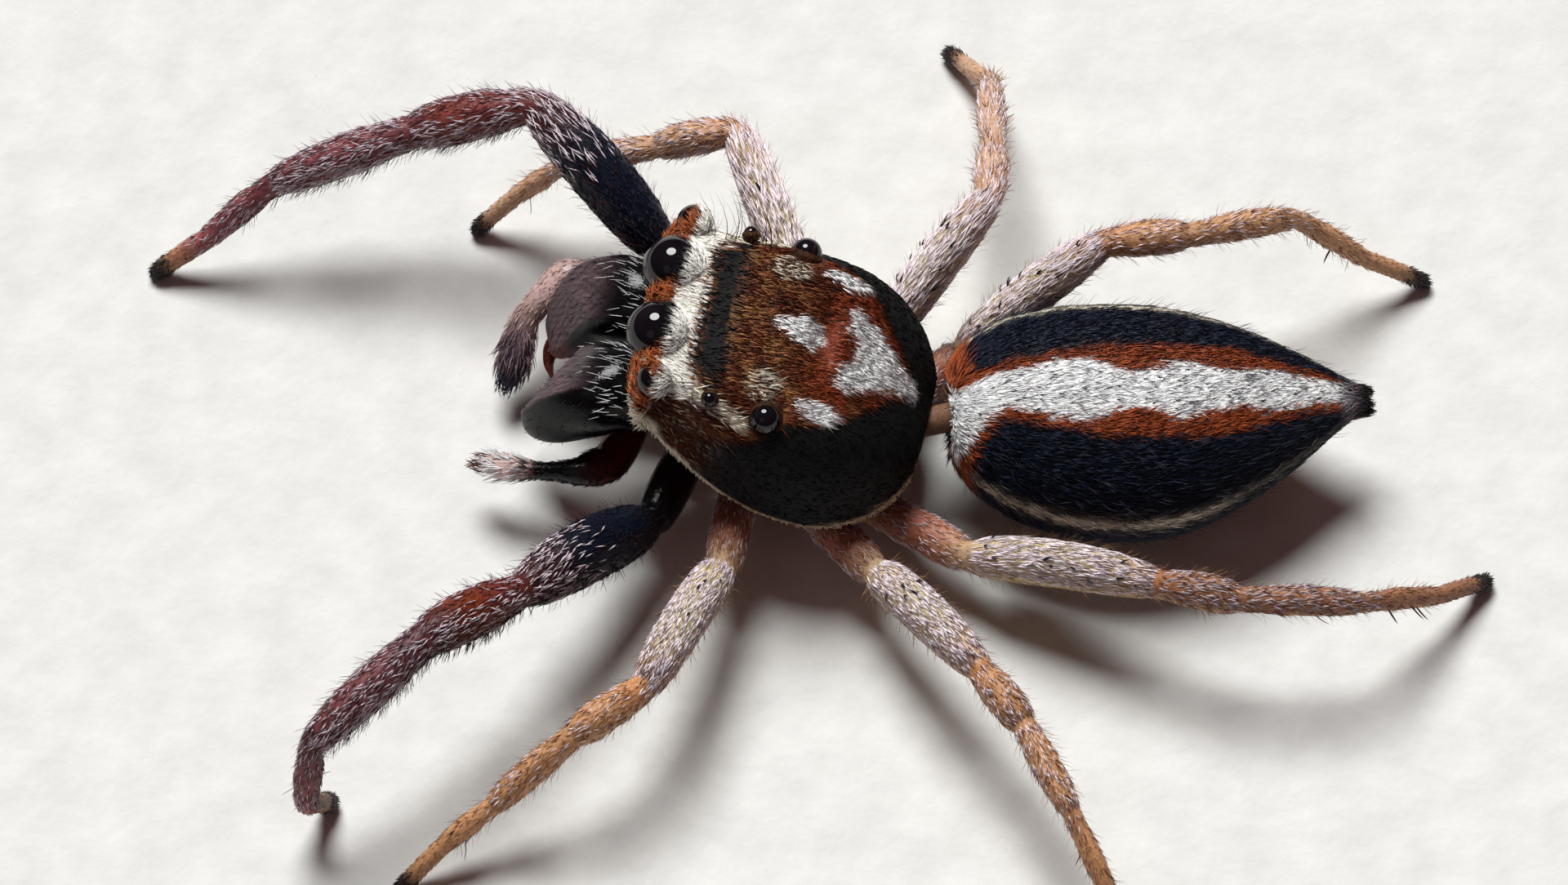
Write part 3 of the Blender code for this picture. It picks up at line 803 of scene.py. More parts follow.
def spinneret_shells():
    """Two pairs of spinnerets and the small tubercle above them."""
    count, sides = SPINNERET_MESH
    way, across, up = abdomen_axis()
    places = np.linspace(0.0, 1.0, count)
    shells = []
    for name, (x, z, radius, length) in SPINNERETS.items():
        start = ABDOMEN_REAR + SHIFT + across * x + up * z - way * SPINNERET_ROOT
        end = start + way * (length + SPINNERET_ROOT) + across * x * SPINNERET_SPREAD
        points = np.linspace(start, end, count)
        high = radius * (1 - SPINNERET_TAPER * places**2)
        shells.append(tube_shell("spinneret_" + name, points, places, high, high, sides))
    return shells


def eye_shell(centre, radius):
    """A whole ball."""
    count, sides = EYE_MESH
    across = np.array((1.0, 0, 0))
    up = np.array((0, 0, 1.0))
    rings = []
    for i in range(1, count + 1):
        angle = pi * i / (count + 1)
        size = sin(angle) * radius
        rings.append(oval(centre - (0, cos(angle) * radius, 0), across, up, size, size, sides))
    return Shell("eye", from_head(np.array(rings)), np.linspace(0, 1, count))


def hood_shell(kind, label):
    """Skin over the rear of an eye, from where it is bare backward."""
    count, sides = HOOD_MESH
    centre, radius, look = EYES[kind]
    mirror = np.array((SIDES[label], 1, 1))
    look = unit(np.array(look, float) * mirror)
    side = unit(np.cross(look, (0.0, 0.0, 1.0)))
    up = np.cross(side, look)
    rings = []
    for i, angle in enumerate(np.radians(np.linspace(EYE_BARE[kind], HOOD_REAR, count))):
        reach = radius + HOOD * min(1.0, 0.15 + i / 5)
        size = reach * sin(angle)
        rings.append(oval(np.array(centre) * mirror + look * reach * cos(angle), side, up, size, size, sides))
    return Shell("hood_%s_%s" % (kind, label), from_head(np.array(rings)), np.linspace(0.0, 1.0, count))


def eye_hoods():
    """The hoods of all eight eyes, the four of the front row first."""
    return [hood_shell(kind, label) for kind in EYES for label in SIDES]


# ----------------------------------------------------------------- markings
# Half width of the carapace's coloured field, by place along the body.
FIELD = ((-1.7, 1.6), (-0.3, 1.15), (0.0, 1.02), (0.41, 0.86), (0.70, 0.52), (0.90, 0.28), (1.20, 0.02),
         (1.5, -0.1))
# The pale band behind the front eyes reaches this much further back at its
# sides. A dark band follows it.
BAND_FRONT = -1.43
BAND_REAR = -1.12
BAND_SIDES = 0.12
DARK_BAND_REAR = -0.84
# Above the abdomen's rim, by share of its length: half widths of the white
# stripe and of the rust beside it.
STRIPE = ((0.0, 0.30), (0.05, 0.27), (0.10, 0.20), (0.18, 0.25), (0.31, 0.36), (0.38, 0.27), (0.44, 0.20),
          (0.54, 0.32), (0.66, 0.23), (0.77, 0.24), (0.90, 0.16), (1.0, 0.13))
RUST_EDGE = ((0.0, 0.75), (0.05, 0.40), (0.16, 0.36), (0.32, 0.49), (0.44, 0.52), (0.56, 0.52), (0.68, 0.48),
             (0.78, 0.36), (0.90, 0.24), (1.0, 0.14))
# The pale line low on each side: how far up round the body, and half width,
# in degrees.
SIDE_LINE = 20
SIDE_LINE_WIDE = 4.5


def spot(x, y, across, along, wide, long, softness):
    """1 inside an oval spot."""
    return 1 - step(((y - along) / long) ** 2 + ((x - across) / wide) ** 2, 1.0, softness)


def band_rear(x):
    """Rear edge of the pale band, at x from the middle."""
    return BAND_REAR + BAND_SIDES * step(x, 0.78, 0.3)


def carapace_marks(points):
    """Shares of each marking on the carapace, by name."""
    local = to_head(points)
    ragged = waves(points, 0.16, 3) * 0.022
    x = np.abs(local[:, 0])
    y = local[:, 1] + ragged
    z = local[:, 2]
    wide = x + ragged
    top = step(z, 0.62, 0.25)
    rear = band_rear(wide)
    height = z - curve(local[:, 1], CARAPACE_Y, CARAPACE_LOW)
    thick = blend(0.28, 0.27, (y + 1.5) / 1.0)
    spot_wide = blend(0.09, 0.19, step(y, -0.25, 0.35))
    shield_wide = blend(0.50, 0.04, np.clip((y - 0.36) / 0.80, 0, 1))
    shield_front = 0.27 + 0.12 * step(0.18 - wide, 0, 0.1)
    streak_height = blend(0.95, 0.81, (y + 1.05) / 0.55)
    streak = between(y, -1.12, -0.48, 0.06) * between(z - streak_height, -0.055, 0.045, 0.04)
    return {
        "field": step(curve(y, *zip(*FIELD)) - np.abs(wide), 0.0, 0.06) * top,
        "band": between(y, BAND_FRONT, rear, 0.04) * step(1.04 - wide, 0.0, 0.06) * step(z, 0.84, 0.1),
        "fringe": between(y, rear, rear + 0.05, 0.05) * step(1.0 - wide, 0.0, 0.1) * top,
        "dark_band": between(y, rear + 0.02, DARK_BAND_REAR, 0.07) * step(1.1 - wide, 0.0, 0.1) * top,
        "spot": spot(wide, y, 0.0, -0.20, spot_wide, 0.30, 0.35),
        "shield": step(shield_wide - wide, 0.0, 0.05) * between(y, shield_front, 1.20, 0.05),
        "side_patch": spot(wide, y, 0.83, 0.17, 0.10, 0.24, 0.4),
        "gleam": spot(wide, y, 0.74, -0.43, 0.17, 0.20, 0.8),
        "streak": streak * step(wide, 0.9, 0.1),
        "margin": between(height, 0.18, thick, 0.04) * step(x, 0.35, 0.1),
        "cheek": (1 - step(y, -0.75, 0.6)) * step(0.90 - z, 0.0, 0.2) * step(height - thick, 0.02, 0.08),
        "red": between(y, -0.05, 0.95, 0.3) * step(waves(points, 0.35, 8), -0.5, 0.8),
    }


def carapace_tint(points, streaks=None):
    """Colour of the coat or the skin of the carapace."""
    marks = carapace_marks(points)
    noise = waves(points, 0.10, 11) if streaks is None else streaks
    patchy = waves(points, 0.40, 5)
    brown = paint(BROWN * 0.25, (
        (RUST * 1.1, 0.40 + 0.60 * noise + 0.2 * patchy),
        (GOLD, step(noise + 0.7 * patchy, 0.50, 0.6) * 0.85),
        (RUST * (1 + 0.5 * noise[:, None]), 0.85 * marks["red"]),
    ))
    cheek = paint(BROWN * 0.4, ((RUST * 0.8, 0.3 + 0.6 * noise), (CREAM * 0.7, step(noise, 0.70, 0.3))))
    fringe = blend(RUST * 1.3, GOLD, 0.4 + 0.5 * noise)
    margin = blend(GOLD, CREAM, 0.45 + 0.5 * step(-to_head(points)[:, 1], 0.5, 0.8))
    tint = paint(plain(BLACK, points), (
        (brown, marks["field"]),
        (cheek, marks["cheek"] * 0.85),
        (BLACK, marks["dark_band"]),
        (fringe, marks["fringe"] * step(noise, -0.3, 0.6)),
        (CREAM * 0.75, marks["gleam"] * step(noise, 0.1, 0.5)),
        (IVORY, marks["band"]),
        (WHITE, marks["spot"]),
        (WHITE, marks["shield"]),
        (WHITE, marks["side_patch"]),
        (CREAM, marks["streak"]),
        (margin, marks["margin"]),
    ))
    return np.clip(tint, 0.002, 1.0)


def abdomen_tint(spots, streaks=None):
    """White stripe, rust bands, black sides with a pale line, brown below."""
    points, along = spots.place, spots.along
    way, across, up = abdomen_axis()
    centre = ABDOMEN_FRONT + SHIFT + np.outer(along, ABDOMEN_REAR - ABDOMEN_FRONT)
    centre = centre + np.outer(np.sin(pi * along), ABDOMEN_BOW)
    roll = radians(ABDOMEN_ROLL)
    beside = (points - centre) @ (across * cos(roll) - up * sin(roll))
    above = (points - centre) @ (across * sin(roll) + up * cos(roll))
    wide = curve(along, ABDOMEN_SHARE, ABDOMEN_WIDE)
    angle = np.degrees(np.arctan2(above / curve(along, ABDOMEN_SHARE, ABDOMEN_ABOVE), np.abs(beside) / wide))
    ragged = waves(points, 0.12, 21) * 0.030
    noise = waves(points, 0.08, 23) if streaks is None else streaks
    rim = 1 - step(along, 0.035, 0.03)
    side = np.abs(beside - 0.20 * (1 - step(along, 0.07, 0.10))) + ragged
    in_rust = 1 - step(side, curve(along, *zip(*RUST_EDGE)), 0.07)
    in_stripe = 1 - step(side, curve(along, *zip(*STRIPE)), 0.03)
    line = np.exp(-((angle + ragged * 90 - SIDE_LINE + 2 * np.sign(beside)) / SIDE_LINE_WIDE) ** 2)
    line = line * blend(1.0, 0.25, step(along, 0.66, 0.3)) * between(along, 0.04, 0.93, 0.03, 0.06)
    rusty = blend(RUST, ORANGE, 0.15 + 0.5 * noise)
    # The ground is black with a painted bluish sheen.
    return paint(plain(BLACK_WITH_PAINTED_SHEEN, points), (
        (TAN * 0.5, 1 - step(angle, -28, 14)),
        (rusty, in_rust * step(above, -0.02, 0.1)),
        (rusty, rim * step(angle, -10, 20)),
        (WHITE, in_stripe * step(above, 0.0, 0.1)),
        (blend(CREAM * 0.7, CREAM, noise), np.clip(line * 1.25, 0, 1)),
        (SLATE, step(along, 0.955, 0.03) * step(above, -0.05, 0.1)),
    ))


def top_of(spots):
    """1 on top of a limb, 0 at its sides and -1 below."""
    return np.sin(2 * pi * spots.around)


def leg_skin_tint(leg, spots):
    """Colour of a bare leg."""
    along = spots.along
    below = -top_of(spots)
    warmth_and_light = LEG_WARMTH_AND_PAINTED_LIGHT[leg]
    # Beyond the knee, warmth turns a leg russet and its lack rose or pale: partly painted light, paler on the
    # lit right legs and darker in painted shade on the left hind leg.
    beyond = between(along, 2.0, 5.7, 0.2, 0.3)
    if leg.endswith("1"):
        tint = curve(along, *zip(*DARK_LEG_TINTS))
        tint = blend(tint, ROSE, max(0.0, -warmth_and_light) * beyond)
        tint = blend(tint, tint * 0.35, step(below, 0.15, 0.8))
    else:
        tint = paint(curve(along, *zip(*PALE_LEG_TINTS)), (
            (RUSSET, max(0.0, warmth_and_light) * beyond),
            (PALE, max(0.0, -warmth_and_light) * beyond),
            (STRAW, 0.45 * step(below, 0.0, 0.8) * between(along, 1.0, 2.9, 0.2, 0.5)),
        ))
    return np.clip(tint, 0.003, 1)


def palp_tint(side, spots):
    """Colour of a bare palp."""
    return np.clip(curve(spots.along, *zip(*PALP_TINTS[side])), 0.003, 1)


def hood_tint(points):
    """White behind, like the band there, and dark to orange nearer the eyes. The dark next to the eyes is
    black hair and partly painted shade in the gap between each eye and the white band.
    """
    x, y, z = to_head(points).T
    x = np.abs(x)
    beside = (step(x, 0.62, 0.1) + 1 - step(x, 0.14, 0.1)) * (1 - step(y, -1.36, 0.05))
    # The dark base near the eyes is partly painted shade between each eye and the white band.
    return paint(plain(BLACK * 2, points), (
        (ORANGE * 0.8, beside * 0.85),
        (IVORY, between(y, -1.36, -1.05, 0.05)),
        (BROWN * 0.5, step(y, -1.00, 0.1) * (1 - step(x, 1.08, 0.1))),
    ))


def jaw_looks(shell, side):
    """Tint and roughness of a jaw: glossy black base and sides, a matt mauve
    front face, and a reddish tip."""
    grid = shell.grid()
    along = grid.along
    face = shell.face.ravel()
    streaks = waves(grid.place * (1.0, 0.25, 0.25), 0.04, 31)
    inner = step(-(grid.normal @ HEAD[:3, :3])[:, 0] * side, 0.35, 0.5)
    tint = paint(plain(BLACK, along), (
        (MAUVE * (1 + 0.6 * streaks[:, None]), face),
        (WINE * 1.4, inner * (1 - face) * step(along, 3.2, 1.0) * 0.8),
        (WINE * 2.4, step(along, 4.5, 0.6) * 0.7),
    ))
    rough = 0.10 + np.maximum(0.45 * step(along, 2.0, 1.4), 0.45 * face)
    return np.clip(tint, 0.003, 1), rough


def under_coat(tints):
    """The skin below a coat: nearly as pale as pale hairs, darker elsewhere."""
    pale = step(tints.mean(axis=1), 0.5, 0.4)
    return tints * (0.5 + 0.4 * pale)[:, None]


# -------------------------------------------------------------------- meshes
def on_chart(share):
    """A place up the unwrap, clear of its edges."""
    return CHART_MARGIN + (1 - 2 * CHART_MARGIN) * share


def new_object(name, places, corners, sizes, tints, gloss, charts, material):
    """A mesh object in metres from flat arrays. corners lists the points of
    the faces one after another and sizes the number of corners of each."""
    mesh = bpy.data.meshes.new(name)
    mesh.vertices.add(len(places))
    mesh.vertices.foreach_set("co", (np.asarray(places) * MM).astype(np.float32).ravel())
    mesh.loops.add(len(corners))
    mesh.loops.foreach_set("vertex_index", np.asarray(corners, np.int32))
    mesh.polygons.add(len(sizes))
    starts = np.concatenate(((0,), np.cumsum(sizes)[:-1])).astype(np.int32)
    mesh.polygons.foreach_set("loop_start", starts)
    mesh.polygons.foreach_set("use_smooth", np.ones(len(sizes), bool))
    mesh.update(calc_edges=True)
    colour = np.ones((len(places), 4), np.float32)
    colour[:, :3] = np.clip(tints, 0.0, 1.0)
    layer = mesh.color_attributes.new("tint", "FLOAT_COLOR", "POINT")
    layer.data.foreach_set("color", colour.ravel())
    if gloss is not None:
        values = mesh.attributes.new("rough", "FLOAT", "POINT")
        values.data.foreach_set("value", np.asarray(gloss, np.float32))
    unwrap = mesh.uv_layers.new(name="OFBake")
    unwrap.uv.foreach_set("vector", np.asarray(charts, np.float32).ravel())
    made = place_object(name, mesh)
    mesh.materials.append(material)
    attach(made, "root")
    return made


def place_object(name, data):
    made = bpy.data.objects.new(name, data)
    bpy.context.scene.collection.objects.link(made)
    return made


def join_shells(name, parts, material):
    """One object from shells. Each part is a shell, its tints, its roughness
    and the strip of the unwrap that it takes."""
    places, corners, sizes, tints, gloss, charts = [], [], [], [], [], []
    base = 0
    for shell, tint, rough, (left, right) in parts:
        rings, sides = shell.points.shape[:2]
        points = shell.points.reshape(-1, 3)
        i, j = np.meshgrid(np.arange(rings - 1), np.arange(sides), indexing="ij")
        k = (j + 1) % sides
        quads = np.stack((i * sides + j, i * sides + k, (i + 1) * sides + k, (i + 1) * sides + j), axis=-1)
        across = np.stack((j, j + 1, j + 1, j), axis=-1) / sides
        up = np.stack((i, i, i + 1, i + 1), axis=-1) / (rings - 1)
        a, b, c = (points[quads[..., n]] for n in (0, 1, 2))
        outward = np.sum(np.cross(b - a, c - a) * shell.normals[:-1])
        if outward < 0:
            quads, across, up = quads[..., ::-1], across[..., ::-1], up[..., ::-1]
        corners.append((quads + base).ravel())
        sizes.append(np.full(i.size, 4))
        charts.append(np.stack((left + (right - left) * across.ravel(), on_chart(up.ravel())), axis=1))
        for ring, turned in ((0, outward > 0), (rings - 1, outward < 0)):
            loop = np.arange(sides) + ring * sides + base
            corners.append(loop[::-1] if turned else loop)
            sizes.append(np.array((sides,)))
            charts.append(np.tile(((left + right) / 2, on_chart(ring / (rings - 1))), (sides, 1)))
        places.append(points)
        tints.append(tint)
        gloss.append(np.broadcast_to(rough, len(points)))
        base += len(points)
    flat = [np.concatenate(rows) for rows in (places, corners, sizes, tints, gloss, charts)]
    return new_object(name, *flat, material)


# --------------------------------------------------------------------- hairs
def hair_faces(joints):
    """Triangles of one hair: a closed root, three sides and a point."""
    faces = [(0, 2, 1)]
    last = 3 * (joints - 1)
    for low in range(0, last, 3):
        for a in range(3):
            b = (a + 1) % 3
            faces.append((low + a, low + b, low + 3 + b))
            faces.append((low + a, low + 3 + b, low + 3 + a))
    for a in range(3):
        faces.append((last + a, last + (a + 1) % 3, last + 3))
    return np.array(faces)


class Coat:
    """Collects hairs and makes them into one object."""

    def __init__(self, name, seed):
        self.name = name
        self.random = np.random.default_rng(seed)
        self.places, self.tints, self.charts, self.faces = [], [], [], []
        self.total = 0

    def vary(self, tints, amount):
        """Each hair a little lighter or darker than the colour of its place."""
        return tints * self.random.uniform(1 - amount, 1 + amount, len(tints))[:, None]

    def add(self, roots, style, tints, ways, pull=(0, 0, 0), strip=(0.0, 1.0), thick=0.55):
        """Hairs of a style at the roots, headed along ways. pull bends their
        tips, in lengths, and strip is their part of the unwrap."""
        count = len(roots.place)
        if not count:
            return
        random = self.random
        normal = roots.normal
        way = level(ways, normal)
        turn = np.radians(random.normal(0, style.spread, count))[:, None]
        way = way * np.cos(turn) + np.cross(normal, way) * np.sin(turn)
        side = np.cross(normal, way)
        lift = np.radians(np.clip(style.rise * random.uniform(0.6, 1.4, count), 0, 88))[:, None]
        length = (style.length * random.uniform(0.75, 1.2, count))[:, None]
        width = (style.width * random.uniform(0.8, 1.2, count))[:, None]
        first = way * np.cos(lift) + normal * np.sin(lift)
        second = -normal * np.sin(lift) * style.bend + np.array(pull)
        root = roots.place - normal * HAIR_SINK
        left, right = strip
        chart = roots.chart
        home = np.stack((left + (right - left) * chart[:, 0], on_chart(chart[:, 1])), axis=1)
        rows = []
        charts = []
        for share, wide in HAIR_JOINTS[style.joints]:
            centre = root + (first * share + second * share**2) * length
            half = side * width * wide * 0.5
            rows += [centre - half, centre + half, centre + normal * width * wide * thick]
            charts += [home + PATCH * np.array((x, share - 0.5)) for x in (-0.5, 0.5, 0.0)]
        rows.append(root + (first + second) * length)
        charts.append(home + PATCH * np.array((0.0, 0.5)))
        rows = np.stack(rows, axis=1)
        rows[..., 2] = np.maximum(rows[..., 2], HAIR_FLOOR)
        per_hair = rows.shape[1]
        faces = hair_faces(style.joints)
        offsets = self.total + per_hair * np.arange(count)
        self.faces.append((faces[None] + offsets[:, None, None]).reshape(-1, 3))
        self.places.append(rows.reshape(-1, 3))
        self.tints.append(np.repeat(np.broadcast_to(tints, (count, 3)), per_hair, axis=0))
        self.charts.append(np.stack(charts, axis=1)[:, faces.ravel()].reshape(-1, 2))
        self.total += per_hair * count

    def grow(self, shell, per_mm2, seed, density, style, tint, variety=0, lean=1, **more):
        """Hairs of one style scattered over a shell, headed along it or, with
        lean -1, back along it. tint is a colour or a function of the roots."""
        roots = shell.scatter(per_mm2, seed, density)
        tints = tint(roots) if callable(tint) else plain(tint, roots.along)
        if variety:
            tints = self.vary(tints, variety)
        self.add(roots, style, tints, roots.way * lean, **more)

    def make(self, material):
        faces = np.concatenate(self.faces)
        made = new_object(self.name, np.concatenate(self.places), faces.ravel(), np.full(len(faces), 3),
                          np.concatenate(self.tints), None, np.concatenate(self.charts), material)
        print("coat", self.name, len(faces))


def outside_eyes(roots, margin=0.0):
    """False where a root would lie inside an eye or within that margin of it."""
    keep = np.ones(len(roots.place), bool)
    for (x, y, z), radius, look in EYES.values():
        for side in SIDES.values():
            centre = from_head((x * side, y, z))
            keep &= np.linalg.norm(roots.place - centre, axis=1) > radius + margin
    return keep


# ----------------------------------------------------------------- materials
def set_inputs(node, values):
    for name, value in values.items():
        node.inputs[name].default_value = value


def new_material(name, values):
    """A material with these values on its shader, with its nodes' tree."""
    made = bpy.data.materials.new(name)
    made.use_nodes = True
    shader = made.node_tree.nodes["Principled BSDF"]
    set_inputs(shader, values)
    return made, made.node_tree, shader


def from_mesh(tree, name, output):
    """A value that the mesh holds at each point."""
    node = tree.nodes.new("ShaderNodeAttribute")
    node.attribute_name = name
    return node.outputs[output]


def add_noise(tree, size, detail):
    """Noise with features of that size in mm."""
    coordinates = tree.nodes.new("ShaderNodeTexCoord")
    noise = tree.nodes.new("ShaderNodeTexNoise")
    set_inputs(noise, {"Scale": 1.0 / (size * MM), "Detail": detail})
    tree.links.new(coordinates.outputs["Object"], noise.inputs["Vector"])
    return noise.outputs["Fac"]


def add_bump(tree, height, shader, strength, distance):
    bump = tree.nodes.new("ShaderNodeBump")
    set_inputs(bump, {"Strength": strength, "Distance": distance * MM})
    tree.links.new(height, bump.inputs["Height"])
    tree.links.new(bump.outputs["Normal"], shader.inputs["Normal"])


def mottled_material(name, values, size, detail, low, high):
    """The mesh's tint, darker and lighter by noise with features of that size.
    low and high are the least and most of it."""
    made, tree, shader = new_material(name, values)
    noise = add_noise(tree, size, detail)
    spread = tree.nodes.new("ShaderNodeMapRange")
    set_inputs(spread, {"From Min": 0.3, "From Max": 0.7, "To Min": low, "To Max": high})
    tree.links.new(noise, spread.inputs["Value"])
    scaled = tree.nodes.new("ShaderNodeVectorMath")
    scaled.operation = "SCALE"
    tree.links.new(from_mesh(tree, "tint", "Color"), scaled.inputs[0])
    tree.links.new(spread.outputs["Result"], scaled.inputs["Scale"])
    tree.links.new(scaled.outputs["Vector"], shader.inputs["Base Color"])
    return made, tree, shader, noise


def cuticle_material(name, values, size, detail, low, high, bump):
    """Skin or shell: mottled, with the mesh's roughness and a fine bump, which
    is its strength and its depth in mm."""
    made, tree, shader, noise = mottled_material(name, values, size, detail, low, high)
    tree.links.new(from_mesh(tree, "rough", "Fac"), shader.inputs["Roughness"])
    add_bump(tree, noise, shader, *bump)
    return made


def skin_material():
    values = {
        "Roughness": 0.5,
        "Specular IOR Level": 0.22,
        "Subsurface Weight": 0.12,
        "Subsurface Radius": (1.0, 0.45, 0.25),
        "Subsurface Scale": 0.10 * MM,
    }
    return cuticle_material("skin", values, size=0.035, detail=3.0, low=0.75, high=1.2, bump=(0.5, 0.012))


def jaw_material():
    values = {"Roughness": 0.2, "Specular IOR Level": 0.22}
    return cuticle_material("jaw", values, size=0.025, detail=2.0, low=0.7, high=1.3, bump=(0.35, 0.008))


def fang_material():
    values = {"Roughness": 0.2, "Specular IOR Level": 0.5}
    return cuticle_material("fang", values, size=0.03, detail=2.0, low=0.7, high=1.3, bump=(0.2, 0.004))


def eye_material():
    values = {"Roughness": 0.03, "IOR": 1.45}
    return mottled_material("eye_glass", values, size=0.25, detail=1.0, low=0.6, high=1.4)[0]


def coat_material(name, roughness, specular):
    made, tree, shader = new_material(name, {"Roughness": roughness, "Specular IOR Level": specular})
    tree.links.new(from_mesh(tree, "tint", "Color"), shader.inputs["Base Color"])
    return made


def floor_material():
    made, tree, shader = new_material("paper", {"Roughness": 0.9, "Specular IOR Level": 0.15})
    fibres = add_noise(tree, size=0.55, detail=4.0)
    ramp = tree.nodes.new("ShaderNodeValToRGB")
    for stop, place, colour in zip(ramp.color_ramp.elements, (0.25, 0.75), (PAPER_DARK, PAPER_PALE)):
        stop.position = place
        stop.color = (*colour, 1)
    tree.links.new(fibres, ramp.inputs["Fac"])
    tree.links.new(ramp.outputs["Color"], shader.inputs["Base Color"])
    add_bump(tree, fibres, shader, strength=0.35, distance=0.12)
    return made


# ----------------------------------------------------- skin, eyes and jaws
def build_skin():
    """All soft and hairy parts as one mesh. Each takes a strip of the unwrap."""
    parts = []
    shells = {}

    def put(shell, tint, rough, left, right):
        shells[shell.name] = shell
        parts.append((shell, tint, rough, (left, right)))

    shell = carapace_shell()
    put(shell, under_coat(carapace_tint(shell.grid().place)), 0.7, 0.00, 0.22)
    shell = abdomen_shell()
    put(shell, under_coat(abdomen_tint(shell.grid())), 0.6, 0.23, 0.45)
    for i, name in enumerate(LEG_POSES):
        shell = leg_shell(name)
        grid = shell.grid()
        rough = np.where(grid.along < 1.05, 0.14, 0.40) if name.endswith("1") else 0.45
        put(shell, leg_skin_tint(name, grid), rough, 0.46 + 0.045 * i, 0.50 + 0.045 * i)
    for i, side in enumerate(PALPS):
        shell = palp_shell(side)
        grid = shell.grid()
        rough = np.where(grid.along < 3.1, 0.18, 0.45)
        put(shell, palp_tint(side, grid), rough, 0.83 + 0.025 * i, 0.85 + 0.025 * i)
    for i, shell in enumerate(eye_hoods()):
        left = 0.05 + 0.05 * (i % 2)
        put(shell, hood_tint(shell.grid().place) * 0.5, 0.7, left, left + 0.04)
    below = [plate_shell("sternum", STERNUM, STERNUM_HEIGHT), plate_shell("mouth", MOUTH, MOUTH_HEIGHT)]
    below.append(waist_shell())
    for i, shell in enumerate(below + spinneret_shells()):
        tint = SKIN_BELOW if i < len(below) else BLACK * 4
        put(shell, plain(tint, shell.grid().along), 0.4, 0.88 + 0.012 * i, 0.89 + 0.012 * i)
    skin = join_shells("skin", parts, skin_material())
    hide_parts("carapace", "abdomen", "sternum", "mouthparts", "pedicel", "spinnerets")
    for side in SIDES:
        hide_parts("palp_%s_arm" % side, "palp_%s_tip" % side)
        for number in HIPS:
            for label in ("coxa", "femur", "tibia", "foot"):
                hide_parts("leg_%s_%d_%s" % (side, number, label))
    return shells


def build_eyes():
    """Eight dark glossy balls."""
    parts = []
    for (x, y, z), radius, look in EYES.values():
        for side in SIDES.values():
            shell = eye_shell(np.array((x * side, y, z)), radius)
            left = len(parts) / 8
            parts.append((shell, plain(EYE_DARK, shell.grid().along), 0.03, (left + 0.005, left + 0.12)))
    eyes = join_shells("eyes", parts, eye_material())
    for kind in EYES:
        for label in SIDES:
            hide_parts("eye_%s_%s" % (kind, label))


def build_jaws():
    """Both jaws and both fangs. Returns the shells of the jaws."""
    shells = []
    jaws = []
    fangs = []
    for label, side in SIDES.items():
        left = 0.5 * len(shells)
        strip = (0.02 + left, 0.48 + left)
        shell = jaw_shell(label, side)
        shells.append(shell)
        jaws.append((shell, *jaw_looks(shell, side), strip))
        fang = fang_shell(label, side)
        fangs.append((fang, plain(WINE * 0.8, fang.grid().along), 0.12, strip))
    made = join_shells("jaws", jaws, jaw_material())
    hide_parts("chelicera_left", "chelicera_right")
    made = join_shells("fangs", fangs, fang_material())
    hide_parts("fang_left", "fang_right")
    return shells


# ------------------------------------------------------------------ the coat
def on_field(roots):
    """How densely the flat hairs of the field and its patches grow."""
    marks = carapace_marks(roots.place)
    return np.clip(marks["field"] + marks["band"], 0, 1) * (1 - 0.6 * marks["dark_band"])


def grow_head_top(shell, matt):
    """Flat hairs on the field and its patches, turned forward at the front."""
    coat = Coat("coat_head_top", 101)
    roots = shell.scatter(2600, 102, lambda spots: on_field(spots) * outside_eyes(spots, margin=0.01))
    local = to_head(roots.place)
    tints = carapace_tint(roots.place, coat.random.normal(0, 0.5, len(local)))
    tints = coat.vary(tints, 0.25)
    pale = tints.mean(axis=1) > 0.35
    forward = (local[:, 1] + coat.random.normal(0, 0.06, len(local)) < -0.95)[:, None]
    ways = np.where(forward, -roots.way, roots.way + turn_from_head(local * (-0.25, 0, 0)))
    for keep, style in ((pale, PALE_FIELD), (~pale, DARK_FIELD)):
        coat.add(pick(roots, keep), style, tints[keep], ways[keep])
    coat.make(matt)


def grow_head_sides(shell, velvet):
    """Short velvet, with longer hairs on the cheeks and along the margin."""
    coat = Coat("coat_head_sides", 103)

    def bare(roots):
        local = to_head(roots.place)
        low = curve(local[:, 1], CARAPACE_Y, CARAPACE_LOW)
        return (1 - on_field(roots)) * (local[:, 2] > low - 0.02) * outside_eyes(roots, margin=0.01)

    roots = shell.scatter(1150, 104, bare)
    marks = carapace_marks(roots.place)
    tints = carapace_tint(roots.place, coat.random.normal(0, 0.45, len(roots.place)))
    tints = coat.vary(tints, 0.25)
    margin = marks["margin"] > 0.4
    streak = (np.maximum(marks["streak"], marks["cheek"] * 0.8) > 0.45) & ~margin
    ways = np.where(margin[:, None], turn_from_head((0.0, 0.45, -1.0)), roots.way)
    for keep, style in ((~(streak | margin), VELVET), (streak, STREAK), (margin, MARGIN)):
        coat.add(pick(roots, keep), style, tints[keep], ways[keep])
    coat.make(velvet)


def grow_brows(coat, shell):
    """White brows lean forward to the eyes."""
    def on_brow(roots):
        x, y, z = to_head(roots.place).T
        x = np.abs(x)
        return between(y, -1.37, band_rear(x), 0.03) * (x < 1.08) * (z > 0.88) * outside_eyes(roots)

    coat.grow(shell, 2600, 112, on_brow, BROW, IVORY, variety=0.12, lean=-1)


def grow_hoods(coat):
    """The hoods carry hairs that lean forward to the rim of each eye."""
    above = turn_from_head((0.0, 0.25, 1.0))

    def on_top(roots):
        return step(roots.normal @ above, 0.05, 0.3)

    def tint(roots):
        return hood_tint(roots.place)

    for i, hood in enumerate(eye_hoods()):
        style = FRONT_HOOD if i < 4 else REAR_HOOD
        coat.grow(hood, 2600, 130 + i, on_top, style, tint, variety=0.25, lean=-1)


